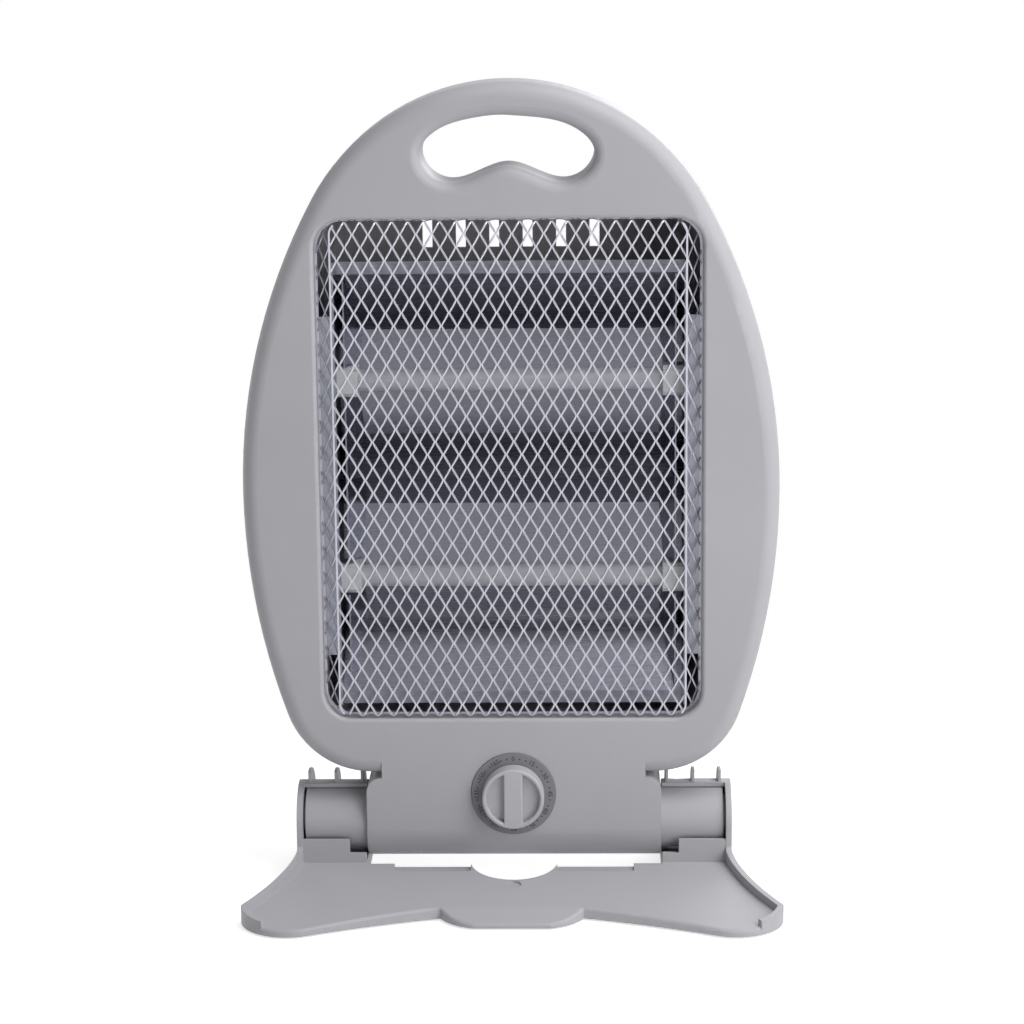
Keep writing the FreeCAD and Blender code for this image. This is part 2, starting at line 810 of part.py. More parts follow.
def heating_coil(z):
    """Resistance wire wound as an open helix, with a straight tail at each end."""
    length = 2 * (tube_half - holder_width)
    pitch = length / coil_turns
    steps = 4 * coil_turns
    turn = math.pi / 2
    slope = math.hypot(pitch / (2 * math.pi), coil_radius)

    def place(step):
        angle = step * turn
        along = -length / 2 + step * pitch / 4
        return Vector(along, tube_back + coil_radius * math.cos(angle), z + coil_radius * math.sin(angle))

    def way(step):
        angle = step * turn
        around = Vector(0, -math.sin(angle), math.cos(angle)) * coil_radius
        return (Vector(pitch / (2 * math.pi), 0, 0) + around) / slope

    along = Vector(1, 0, 0)
    reach = lead_x() - lead_radius - tail_gap
    bend = length / 2 + coil_tail
    tails = [Vector(x, tube_back, z) for x in (-reach, -bend, bend, reach)]
    edges = [line(tails[0], tails[1])] + biarc(tails[1], along, place(0), way(0))
    for step in range(steps):
        edges += biarc(place(step), way(step), place(step + 1), way(step + 1))
    edges += biarc(place(steps), way(steps), tails[2], along) + [line(tails[2], tails[3])]
    path = Part.Wire(edges)
    circle = Part.Circle(tails[0], along, coil_wire).toShape()
    shell = Part.BRepOffsetAPI.MakePipeShell(path)
    shell.add(Part.Wire(circle))
    shell.build()
    shell.makeSolid()
    print("coil: least gap between turns", round(pitch * coil_radius / slope - 2 * coil_wire, 2), "mm")
    return Part.Solid(shell.shape())


def thermal_cutout():
    """Round bimetal switch on the outside of the right end bracket, level with the ridge."""
    seat = reflector_length / 2 + bracket_sheet
    y = reflector_back - cutout_radius
    top = seat + cutout_height
    disc = cylinder_x(cutout_radius, seat, top, y, ridge_z)
    neck = cylinder_x(cutout_neck_radius, top, top + cutout_neck_height, y, ridge_z)
    return disc.fuse(neck).removeSplitter()


def dial_ring():
    """Flat marked ring let into the front of the neck."""
    seat = front_y + dial_sink
    ring = cylinder_y(dial_radius, dial_face_y, seat, 0, dial_height)
    return ring.cut(cylinder_y(dial_bore, dial_face_y - overrun, seat + overrun, 0, dial_height))


def rotary_switch():
    """Switch block behind the front wall with a round bush through it."""
    back = front_y + wall + switch_depth
    body = block(-switch_width / 2, switch_width / 2, front_y + wall, back,
                 dial_height - switch_height / 2, dial_height + switch_height / 2)
    along = [edge for edge in body.Edges if edge.BoundBox.YLength > switch_depth / 2]
    body = body.makeFillet(switch_corner, along)
    bush = cylinder_y(bush_radius, front_y + wall - bush_length, front_y + wall, 0, dial_height)
    bore_front = front_y - overrun - bush_length
    bore = cylinder_y(shaft_radius + shaft_slip, bore_front, front_y + wall + shaft_hold, 0, dial_height)
    return body.fuse(bush).cut(bore).removeSplitter()


def switch_shaft():
    """Plain steel spindle that carries the knob."""
    inner = front_y + wall + shaft_hold - shaft_seat
    return cylinder_y(shaft_radius, knob_back_y - shaft_grip, inner, 0, dial_height)


def knob():
    """Round knob with a raised bar between two half-round pockets."""
    body = cylinder_y(knob_radius, knob_front_y, knob_back_y, 0, dial_height)
    floor = knob_front_y + knob_pocket
    pocket = cylinder_y(knob_radius - knob_rim, knob_front_y - overrun, floor, 0, dial_height)
    bar = block(-knob_bar / 2, knob_bar / 2, knob_front_y - 2 * overrun, floor + overrun,
                dial_height - knob_radius, dial_height + knob_radius)
    bore_radius = shaft_radius + shaft_slip
    bore = cylinder_y(bore_radius, knob_back_y - shaft_grip, knob_back_y + overrun, 0, dial_height)
    body = body.cut([pocket.cut(bar), bore])
    return body.makeFillet(knob_edge, edges_at_depth(body, knob_front_y))


def terminal_block():
    """Moulded block with a groove between its two ways, on the inside of the neck's face."""
    x = -terminal_place_share * neck_width / 2
    start = front_y + wall
    body = block(x - terminal_width / 2, x + terminal_width / 2, start, start + terminal_depth,
                 dial_height - terminal_height / 2, dial_height + terminal_height / 2)
    floor = start + terminal_depth / 2
    half = terminal_groove / 2
    groove = block(x - half, x + half, floor, start + terminal_depth + overrun,
                   dial_height - terminal_height, dial_height + terminal_height)
    return body.cut(groove)


def tip_switch():
    """Sealed tilt switch on the inside of the neck's face."""
    x = terminal_place_share * neck_width / 2
    start = front_y + wall
    body = block(x - tip_width / 2, x + tip_width / 2, start, start + tip_depth,
                 dial_height - tip_height / 2, dial_height + tip_height / 2)
    upright = [edge for edge in body.Edges if edge.BoundBox.ZLength > tip_height / 2]
    return body.makeFillet(tip_round, upright)


def lead_x():
    """Place of the upright run of a lead, outside the end bracket."""
    return reflector_length / 2 + bracket_sheet + lead_gap


def lead(flip):
    """Route of an insulated lead from the neck up the outside of an end bracket, past both tube ends."""
    depth = tip_depth if flip > 0 else terminal_depth
    x_low = terminal_place_share * neck_width / 2
    z_run = reflector_bottom - lead_gap
    points = [Vector(x_low, front_y + wall + depth, dial_height), Vector(x_low, tube_back, dial_height),
              Vector(x_low, tube_back, z_run), Vector(lead_x(), tube_back, z_run),
              Vector(lead_x(), tube_back, upper_tube_z + lead_gap)]
    return points if flip > 0 else [mirrored(point) for point in points]


def tube_along(points, radius, bend):
    """Round tube along straight runs joined by tangent arcs."""
    edges = []
    start = points[0]
    for before, corner, after in zip(points, points[1:], points[2:]):
        inward = (before - corner).normalize()
        outward = (after - corner).normalize()
        half = math.acos(inward.dot(outward)) / 2
        setback = min(bend / math.tan(half), bend_room_share * (before - corner).Length,
                      bend_room_share * (after - corner).Length)
        curve = setback * math.tan(half)
        first = corner + inward * setback
        last = corner + outward * setback
        bisector = (inward + outward).normalize()
        middle = corner + bisector * (curve / math.sin(half) - curve)
        edges += [line(start, first), arc(first, middle, last)]
        start = last
    edges.append(line(start, points[-1]))
    path = Part.Wire(edges)
    circle = Part.Circle(points[0], points[1] - points[0], radius).toShape()
    shell = Part.BRepOffsetAPI.MakePipeShell(path)
    shell.add(Part.Wire(circle))
    shell.build()
    shell.makeSolid()
    return Part.Solid(shell.shape())


def cord_gland():
    """Flanged bush for the mains lead in the back of the neck."""
    x = gland_place_share * neck_width / 2
    body = cylinder_y(gland_radius, inner_depth, barrel_radius, x, gland_height)
    outer = barrel_radius + gland_flange_height
    seat = Vector(x, barrel_radius, gland_height)
    flange = Part.makeCone(gland_flange, gland_radius, gland_flange_height, seat, Vector(0, 1, 0))
    bore = cylinder_y(gland_bore, inner_depth - overrun, outer + overrun, x, gland_height)
    return body.fuse(flange).cut(bore).removeSplitter()


def hinge_drum(flip):
    """Drum that fills a tower: a cup with a hub for the pin and a keyed spigot held in the neck's end."""
    start = neck_width / 2
    drum = cylinder_x(drum_radius, start, drum_end)
    cup = cylinder_x(drum_radius - drum_wall, start + drum_web, drum_end + overrun)
    hub = cylinder_x(drum_hub, start + drum_web, drum_end + overrun)
    drum = drum.cut(cup.cut(hub))
    inside = start - wall
    neck = cylinder_x(spigot_radius, inside - spigot_slip, start)
    flats = block(inside - spigot_slip, start, -drum_radius, drum_radius, -spigot_flat, spigot_flat)
    neck = neck.common(flats)
    flange = cylinder_x(spigot_flange, inside - spigot_slip - spigot_flange_width, inside - spigot_slip)
    bore = cylinder_x(pin_radius + pin_slip, drum_end - pin_reach, drum_end + overrun)
    drum = drum.fuse([neck, flange]).cut(bore).removeSplitter()
    return drum if flip > 0 else drum.mirror(Vector(0, 0, 0), Vector(1, 0, 0))


def pivot_pin(flip):
    """Headed steel pin pressed into the tower's outer wall."""
    shank = cylinder_x(pin_radius, drum_end - pin_reach + overrun, tower_outer)
    head = cylinder_x(pin_head_radius, tower_outer - pin_head, tower_outer)
    pin = shank.fuse(head).removeSplitter()
    return pin if flip > 0 else pin.mirror(Vector(0, 0, 0), Vector(1, 0, 0))


def friction_washer(flip):
    """Flat washer between the drum and the tower's wall."""
    ring = cylinder_x(washer_radius, drum_end, tower_wall_x)
    ring = ring.cut(cylinder_x(pin_radius + pin_slip, drum_end - overrun, tower_wall_x + overrun))
    return ring if flip > 0 else ring.mirror(Vector(0, 0, 0), Vector(1, 0, 0))


def plan_point(shares):
    """Point of the base's plan from its shares of the half width and of the front reach."""
    return Vector(shares[0] * base_half, -shares[1] * front_reach, 0)


def tip_points(last):
    """Start, middle and end of a wing tip's arc, which touches the base's front line and ends at a turn."""
    start = plan_point(tip_end_shares)
    x = tip_centre_share * base_half
    deep = front_reach + start.y
    radius = ((start.x - x) ** 2 + deep ** 2) / (2 * deep)
    first = math.degrees(math.atan2(start.x - x, radius - deep))

    def on(turn):
        angle = math.radians(turn)
        return Vector(x + radius * math.sin(angle), radius * (1 - math.cos(angle)) - front_reach, 0)

    return start, on((first + last) / 2), on(last)


def tongue_y(share):
    """Place along the tongue, from where it leaves the wings to its nose."""
    return plan_point(tongue_end_shares).y - share * tongue_length


def base_plan():
    """Plan of the base: notched rear edge, tower feet, flared sides, round tips and the tongue."""
    notch_end = Vector(notch_half, plate_edge, 0)
    notch_mid = Vector(0, -notch_reach(), 0)
    inner = Vector(tower_inner, plate_edge, 0)
    rear_inner = Vector(tower_inner, rear_reach, 0)
    rear_bend = Vector(tower_outer - rear_foot_round, rear_reach, 0)
    slant = rear_foot_round * (1 - math.sqrt(0.5))
    rear_mid = Vector(tower_outer - slant, rear_reach - slant, 0)
    rear_outer = Vector(tower_outer, rear_reach - rear_foot_round, 0)
    waist = Vector(tower_outer, plate_edge, 0)
    tip_end, tip_mid, wing_end = tip_points(-wing_lean)
    tongue_end = plan_point(tongue_end_shares)
    right = [
        lambda p: line(p(notch_end), p(inner)),
        lambda p: line(p(inner), p(rear_inner)),
        lambda p: line(p(rear_inner), p(rear_bend)),
        lambda p: arc(p(rear_bend), p(rear_mid), p(rear_outer)),
        lambda p: line(p(rear_outer), p(waist)),
        lambda p: arc(p(waist), p(plan_point(flare_mid_shares)), p(tip_end)),
        lambda p: arc(p(tip_end), p(tip_mid), p(wing_end)),
        lambda p: arc(p(wing_end), p(plan_point(wing_mid_shares)), p(tongue_end)),
    ]
    edges = [arc(mirrored(notch_end), notch_mid, notch_end)]
    nose = Vector(tongue_flat / 2, tongue_y(1), 0)
    edges.append(line(mirrored(nose), nose))
    bend = Vector(tongue_bend_shares[0] * base_half, tongue_y(tongue_bend_shares[1]), 0)
    right.append(lambda p: arc(p(tongue_end), p(bend), p(nose)))
    for make in right:
        edges.append(make(lambda p: p))
        edges.append(make(mirrored))
    return Part.Wire(Part.__sortEdges__(edges))


def base_side(drop, lift):
    """Side view of the base's bulk as a wide slab: a plate that falls to the front and a low rear foot."""
    front = -front_reach - overrun
    back = rear_reach + overrun
    bottom = base_lift - lift
    points = [Vector(0, back, bottom), Vector(0, front, bottom),
              Vector(0, front, plate_height(front) - drop), Vector(0, plate_edge, plate_top - drop),
              Vector(0, heel_run, plate_top - drop), Vector(0, hood_inner, rear_foot_height - drop),
              Vector(0, back, rear_foot_height - drop)]
    slab = pad(loop(points), Vector(2 * body_width, 0, 0))
    slab.translate(Vector(-body_width, 0, 0))
    return slab


def tongue_ramp(drop):
    """Wedge above the tongue, from where it starts to fall to past its nose."""
    height = Vector(0, 0, hinge_height)
    start = Vector(0, tongue_y(0), plate_height(tongue_y(0)) - drop)
    nose = Vector(0, tongue_y(1), tongue_nose - drop)
    end = nose + (nose - start).normalize() * overrun
    ramp = pad(loop([start, end, end + height, start + height]), Vector(2 * tongue_end_x(), 0, 0))
    ramp.translate(Vector(-tongue_end_x(), 0, 0))
    return ramp


def soften_front(slab):
    """Round the upper edge of the plate along its front, from tip to tip, and the fold of the tongue."""
    close = overrun / 100
    limit = tip_points(-wing_lean)[2].x + close
    front = tongue_y(0) + close

    def along_front(box):
        upright = box.XLength + box.YLength < close
        level = box.ZMin > base_lift + close
        return level and not upright and box.YMax < front and box.XMin > -limit and box.XMax < limit

    return slab.makeFillet(front_round, [edge for edge in slab.Edges if along_front(edge.BoundBox)])


def base_slab():
    """Hollow plate of the base, open underneath, with stiffeners and a ledge along its rear edge."""
    plan = base_plan()
    height = Vector(0, 0, hinge_height)
    outer = soften_front(pad(plan, height).common(base_side(0, 0)).cut(tongue_ramp(0)).Solids[0])
    inset = plan.makeOffset2D(-plate_wall)
    room = pad(inset, height)
    hollow = room.common(base_side(plate_wall, overrun)).cut(tongue_ramp(plate_wall))
    stiffeners = []
    count = int(tower_inner / stiffener_pitch)
    for index in range(-count, count + 1):
        x = index * stiffener_pitch
        stiffeners.append(block(x - stiffener_wall / 2, x + stiffener_wall / 2, -front_reach, plate_edge,
                                base_lift + stiffener_drop, hinge_height))
    skin = plate_wall / 2
    web = room.common(base_side(skin, 0)).cut(tongue_ramp(skin)).common(Part.makeCompound(stiffeners))
    cuts = []
    for flip in (1, -1):
        ends = sorted((flip * notch_half, flip * ledge_end))
        cuts.append(block(ends[0], ends[1], plate_edge - ledge_depth, plate_edge + overrun,
                          ledge_floor(), hinge_height))
    cuts.append(Part.makeCylinder(dimple_radius, hinge_height, dimple_place()))
    return outer.cut(hollow).fuse(web).cut(cuts)


def plate_height(y):
    """Height of the plate's top at a place in front of its rear edge."""
    return plate_top - plate_fall * (y - plate_edge) / (-front_reach - plate_edge)


def ledge_floor():
    """Height of the ledge along the rear edge of the plate."""
    return plate_height(plate_edge - ledge_depth) - ledge_drop


def dimple_place():
    """Middle of the floor of the round dimple before the notch."""
    reach = notch_reach() + dimple_gap
    return Vector(0, -reach, plate_height(-reach) - dimple_drop)


def notch_reach():
    """Depth of the notch before the hinge, which lets the knob's rim swing past the plate's top."""
    fall = hinge_height - plate_height(-knob_reach)
    return math.sqrt(knob_sweep ** 2 - fall ** 2) + notch_gap


def tongue_end_x():
    """Half width of the tongue at the front of the base."""
    return tongue_end_shares[0] * base_half


def side_wall():
    """Outer wall of the right tower, round over the drum, falling in a hollow curve into the wing's rim."""
    waist = Vector(tower_outer, plate_edge, 0)
    tip_end, tip_mid, rim_stop = tip_points(rim_end_turn)
    flare = arc(waist, plan_point(flare_mid_shares), tip_end)
    back = line(Vector(tower_outer, hood_outer, 0), waist)
    tip = arc(tip_end, tip_mid, rim_stop)
    path = Part.Wire([back, flare, tip])
    band = path.makeOffset2D(-rim_wall, openResult=True, fill=True)
    if band.BoundBox.XMax > base_half + overrun:
        band = path.makeOffset2D(rim_wall, openResult=True, fill=True)
    upright = band.extrude(Vector(0, 0, hinge_height + hood_outer))
    rim_end = plate_top - plate_fall + rim_height
    crest = Vector(0, 0, hinge_height + hood_outer)
    front = Vector(0, -hood_outer, hinge_height)
    lean = hood_outer * math.sqrt(0.5)
    front_mid = Vector(0, -lean, hinge_height + lean)
    back_mid = Vector(0, lean, hinge_height + lean)
    rear = Vector(0, hood_outer, hinge_height)
    knee = Vector(0, -hood_outer, plate_top + rim_start)
    toe = Vector(0, -front_reach - overrun, rim_end)
    bend = Vector(0, (knee.y * 2 + toe.y) / 3, plate_top + rim_height)
    curve = Part.BezierCurve()
    curve.setPoles([knee, Vector(0, knee.y, bend.z), bend, toe])
    low_front = Vector(0, toe.y, base_lift)
    low_rear = Vector(0, hood_outer, base_lift)
    profile = Part.Wire([arc(front, front_mid, crest), arc(crest, back_mid, rear),
                         line(rear, low_rear), line(low_rear, low_front), line(low_front, toe),
                         curve.toShape(), line(knee, front)])
    slab = pad(profile, Vector(body_width, 0, 0))
    return upright.common(slab)


def polar(radius, degrees):
    """Point in the hinge's side view at a radius and a turn from the back."""
    turn = math.radians(degrees)
    return Vector(0, radius * math.cos(turn), hinge_height + radius * math.sin(turn))


def hood():
    """Curved roof and back of the right tower round the drum."""
    middle = (hood_front_turn + hood_rear_turn) / 2
    outer = [polar(hood_outer, turn) for turn in (hood_front_turn, middle, hood_rear_turn)]
    inner = [polar(hood_inner, turn) for turn in (hood_front_turn, middle, hood_rear_turn)]
    ends = [line(outer[2], inner[2]), line(inner[0], outer[0])]
    wire = Part.Wire([arc(*outer), ends[0], arc(*reversed(inner)), ends[1]])
    roof = pad(wire, Vector(tower_width, 0, 0))
    roof.translate(Vector(tower_inner, 0, 0))
    return roof


def rear_rib(x):
    """Upright rib behind the hood, from its crest down to the rear foot."""
    middle = (rib_front_turn + rib_rear_turn) / 2
    start = polar(hood_inner, rib_front_turn)
    tip = polar(rib_radius, rib_front_turn)
    heel = polar(rib_radius, rib_rear_turn)
    toe = Vector(0, rear_reach - plate_wall, rear_foot_height - plate_wall / 2)
    foot = Vector(0, heel_run, rear_foot_height - plate_wall / 2)
    wire = Part.Wire([line(start, tip), arc(tip, polar(rib_radius, middle), heel), line(heel, toe),
                      line(toe, foot), line(foot, start)])
    rib = pad(wire, Vector(rib_wall, 0, 0))
    rib.translate(Vector(x - rib_wall / 2, 0, 0))
    return rib


def tower():
    """Right tower: outer wall, hood, ribs and a low front wall with a lip before the drum."""
    pieces = [side_wall(), hood()]
    first = tower_inner + rib_inset + rib_wall / 2
    last = tower_wall_x - rib_inset - rib_wall / 2
    for x in (first, (first + last) / 2, last):
        pieces.append(rear_rib(x))
    face = -(hood_inner + front_wall)
    low = plate_top - plate_wall / 2
    step = plate_top + front_wall_rise
    pieces.append(block(tower_inner, tower_wall_x, face, -hood_inner, low, step))
    lip_start = tower_wall_x - lip_width
    pieces.append(block(lip_start, tower_wall_x, face, -hood_inner, low, step + lip_rise))
    whole = pieces[0].fuse(pieces[1:])
    return whole.cut(cylinder_x(hood_inner, tower_inner - overrun, tower_wall_x, 0, hinge_height))


def foot_places():
    """Places of the four rubber feet by name."""
    front_x = base_half - front_foot_inset_x
    front = -front_reach + front_foot_inset_y
    rear_x = (tower_inner + tower_outer) / 2
    rear = rear_reach - rear_foot_inset
    return {"foot_front_right": Vector(front_x, front, 0), "foot_front_left": Vector(-front_x, front, 0),
            "foot_rear_right": Vector(rear_x, rear, 0), "foot_rear_left": Vector(-rear_x, rear, 0)}


def foot_seat():
    """Height of the face that a rubber foot is pressed against."""
    return base_lift + foot_sink


def base():
    """Base moulding: hollow plate, two towers and the bosses of the feet."""
    right = tower()
    bulk = base_slab().fuse([right, right.mirror(Vector(0, 0, 0), Vector(1, 0, 0))])
    bosses = []
    holes = []
    for place in foot_places().values():
        ground = Vector(place.x, place.y, base_lift)
        bosses.append(Part.makeCylinder(foot_radius + foot_boss_wall, hinge_height, ground))
        below = ground - Vector(0, 0, overrun)
        seat = Vector(place.x, place.y, foot_seat())
        holes.append(Part.makeCylinder(foot_radius + foot_slip, foot_sink + overrun, below))
        holes.append(Part.makeCylinder(foot_stem_radius + foot_slip, foot_stem_length, seat))
    plan = pad(base_plan(), Vector(0, 0, hinge_height))
    inside = plan.common(base_side(plate_wall / 2, 0))
    bulk = bulk.fuse(Part.makeCompound(bosses).common(inside))
    for flip in (1, -1):
        ends = sorted((flip * (tower_wall_x - overrun), flip * (tower_outer + overrun)))
        holes.append(cylinder_x(pin_radius, ends[0], ends[1], 0, hinge_height))
        head_ends = sorted((flip * (tower_outer - pin_head), flip * (tower_outer + overrun)))
        holes.append(cylinder_x(pin_head_radius + pin_slip, head_ends[0], head_ends[1], 0, hinge_height))
    return bulk.cut(holes).removeSplitter()


def rubber_foot(place):
    """Round rubber foot with a stem that holds it in its boss."""
    pad_solid = Part.makeCylinder(foot_radius, foot_seat(), Vector(place.x, place.y, 0))
    stem = Part.makeCylinder(foot_stem_radius, foot_stem_length, Vector(place.x, place.y, foot_seat()))
    return pad_solid.fuse(stem).removeSplitter()


def heater_pieces():
    """Pieces that tilt with the body, by node name, about the hinge axis."""
    pieces = {
        "front_frame": front_frame(),
        "rear_cover": rear_cover(),
        "case_screws": case_screws(),
        "grille": grille(),
        "reflector": reflector(),
        "bracket_screws": bracket_screws(),
        "thermal_cutout": thermal_cutout(),
        "dial_ring": dial_ring(),
        "rotary_switch": rotary_switch(),
        "switch_shaft": switch_shaft(),
        "knob": knob(),
        "terminal_block": terminal_block(),
        "tip_switch": tip_switch(),
        "cord_gland": cord_gland(),
    }
    for level, z in (("upper", upper_tube_z), ("lower", lower_tube_z)):
        pieces["quartz_tube_" + level] = quartz_tube(z)
        pieces["heating_coil_" + level] = heating_coil(z)
        for name, flip in (("left", -1), ("right", 1)):
            pieces["tube_holder_" + level + "_" + name] = tube_holder(flip, z)
    for name, flip in (("left", -1), ("right", 1)):
        pieces["end_bracket_" + name] = end_bracket(flip)
        pieces["hinge_drum_" + name] = hinge_drum(flip)
        pieces["lead_" + name] = tube_along(lead(flip), lead_radius, lead_bend)
    return pieces


def hinge_pieces():
    """Pins and washers that stay with the base, about the hinge axis."""
    pieces = {}
    for name, flip in (("left", -1), ("right", 1)):
        pieces["pivot_pin_" + name] = pivot_pin(flip)
        pieces["friction_washer_" + name] = friction_washer(flip)
    return pieces


def base_pieces():
    """Pieces that stand on the floor, below the hinge axis."""
    pieces = {"base": base()}
    for name, place in foot_places().items():
        pieces[name] = rubber_foot(place)
    return pieces


def write_parts():
    """Move every piece into the part's frame and write one file for each."""
    os.makedirs("parts", exist_ok=True)
    about_hinge = {**heater_pieces(), **hinge_pieces()}
    for shape in about_hinge.values():
        shape.translate(Vector(0, hinge_y, hinge_height))
    on_floor = base_pieces()
    for shape in on_floor.values():
        shape.translate(Vector(0, hinge_y, 0))
    for name, shape in {**about_hinge, **on_floor}.items():
        print(name, "solids", len(shape.Solids), "valid", shape.isValid(), "volume", round(shape.Volume, 1))
        shape.exportStep(os.path.join("parts", name + ".step"))


write_parts()
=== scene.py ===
"""Quartz heater: finishes, mesh grille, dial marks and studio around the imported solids.

All lengths are metres in the part's frame: X to the right, Y to the back, Z up, floor at zero.
"""

import json
import logging
import math
from dataclasses import dataclass, field
from enum import Enum
from typing import Any

import bmesh
import bpy
import numpy as np
from mathutils import Matrix, Vector

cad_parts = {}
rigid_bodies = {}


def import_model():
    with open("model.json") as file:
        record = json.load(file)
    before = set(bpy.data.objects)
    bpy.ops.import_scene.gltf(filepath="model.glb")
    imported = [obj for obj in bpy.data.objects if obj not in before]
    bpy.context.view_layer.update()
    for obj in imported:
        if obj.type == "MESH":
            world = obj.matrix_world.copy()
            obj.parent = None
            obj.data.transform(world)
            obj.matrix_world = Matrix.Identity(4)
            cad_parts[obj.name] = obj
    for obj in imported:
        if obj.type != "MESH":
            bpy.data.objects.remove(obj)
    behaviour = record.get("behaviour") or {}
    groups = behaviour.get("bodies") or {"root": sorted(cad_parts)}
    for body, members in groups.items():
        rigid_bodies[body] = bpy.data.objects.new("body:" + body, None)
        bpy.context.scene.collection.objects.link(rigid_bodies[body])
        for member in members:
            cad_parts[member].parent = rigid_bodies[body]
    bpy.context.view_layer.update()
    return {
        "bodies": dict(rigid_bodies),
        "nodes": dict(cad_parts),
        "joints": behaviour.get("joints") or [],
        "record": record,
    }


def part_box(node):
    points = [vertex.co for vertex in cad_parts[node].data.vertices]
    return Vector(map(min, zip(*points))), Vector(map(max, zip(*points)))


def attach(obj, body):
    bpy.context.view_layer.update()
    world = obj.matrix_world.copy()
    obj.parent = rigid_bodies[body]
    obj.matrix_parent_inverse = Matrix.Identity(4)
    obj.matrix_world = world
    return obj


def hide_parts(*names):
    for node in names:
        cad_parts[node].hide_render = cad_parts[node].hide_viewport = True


log = logging.getLogger("quartz_heater")

MM = 0.001
RELIEF = 0.1 * MM  # height of the finest relief in a finish
WHITE = (1.0, 1.0, 1.0, 1.0)
Colour = tuple[float, float, float]
Place = tuple[float, float, float]
Array = np.ndarray


class Body(Enum):
    """Moving bodies of the heater."""

    BASE = "base"
    HEATER = "heater"
    KNOB = "knob"


class Slot(Enum):
    """Material slots of the record, named alongside the new pieces."""

    MESH = "mesh_steel"
    DIAL = "dial_plastic"


def linear(colour: Colour) -> tuple[float, float, float, float]:
    """Turn a colour as the eye reads it into the renderer's linear light, by the sRGB curve.

    Args:
        colour: Red, green and blue from 0 to 1 on the display scale.

    Returns:
        The linear colour with full alpha.
    """
    parts = [part / 12.92 if part <= 0.04045 else ((part + 0.055) / 1.055) ** 2.4 for part in colour]
    return parts[0], parts[1], parts[2], 1.0


def scaled(colour: Colour, share: float) -> Colour:
    """Colour made lighter or darker by a share."""
    return tuple(min(part * share, 1.0) for part in colour)


class Nodes:
    """Short way to add nodes to one tree and to join them."""

    FIRST_COLOUR, SECOND_COLOUR, MIXED_COLOUR = 6, 7, 2

    def __init__(self, tree: bpy.types.NodeTree) -> None:
        """Keep the tree and empty it."""
        self.tree = tree
        tree.nodes.clear()

    def add(self, kind: str, inputs: dict | None = None, **settings: Any) -> bpy.types.Node:
        """Add one node.

        Args:
            kind: Blender's name of the node type.
            inputs: Socket name or number to a value, or to the output that feeds it.
            settings: Properties of the node itself.

        Returns:
            The new node.
        """
        node = self.tree.nodes.new(kind)
        for name, value in settings.items():
            setattr(node, name, value)
        for key, value in (inputs or {}).items():
            if isinstance(value, bpy.types.NodeSocket):
                self.tree.links.new(value, node.inputs[key])
            else:
                node.inputs[key].default_value = value
        return node

    def math(self, operation: str, first: Any, second: Any) -> bpy.types.NodeSocket:
        """Result of one sum on two values."""
        return self.add("ShaderNodeMath", {0: first, 1: second}, operation=operation).outputs[0]

    def spread(self, value: Any, low: float, high: float) -> bpy.types.NodeSocket:
        """Value from 0 to 1 laid out between two limits."""
        return self.add("ShaderNodeMapRange", {"Value": value, "To Min": low, "To Max": high}).outputs[0]

    def mix(self, share: bpy.types.NodeSocket, first: Colour, second: Colour) -> bpy.types.NodeSocket:
        """Colour between two others, by a share that changes over the surface."""
        inputs = {"Factor": share, self.FIRST_COLOUR: linear(first), self.SECOND_COLOUR: linear(second)}
        return self.add("ShaderNodeMix", inputs, data_type="RGBA").outputs[self.MIXED_COLOUR]

    def noise(self, vector: Any, scale: Any, detail: float) -> bpy.types.NodeSocket:
        """Smooth noise from 0 to 1 on a set of coordinates."""
        inputs = {"Vector": vector, "Scale": scale, "Detail": detail}
        return self.add("ShaderNodeTexNoise", inputs).outputs[0]

    def feed(self, node: bpy.types.Node, **sources: bpy.types.NodeSocket) -> None:
        """Join outputs to a node's inputs, given by name with underscores for spaces."""
        for name, source in sources.items():
            self.tree.links.new(source, node.inputs[name.replace("_", " ")])


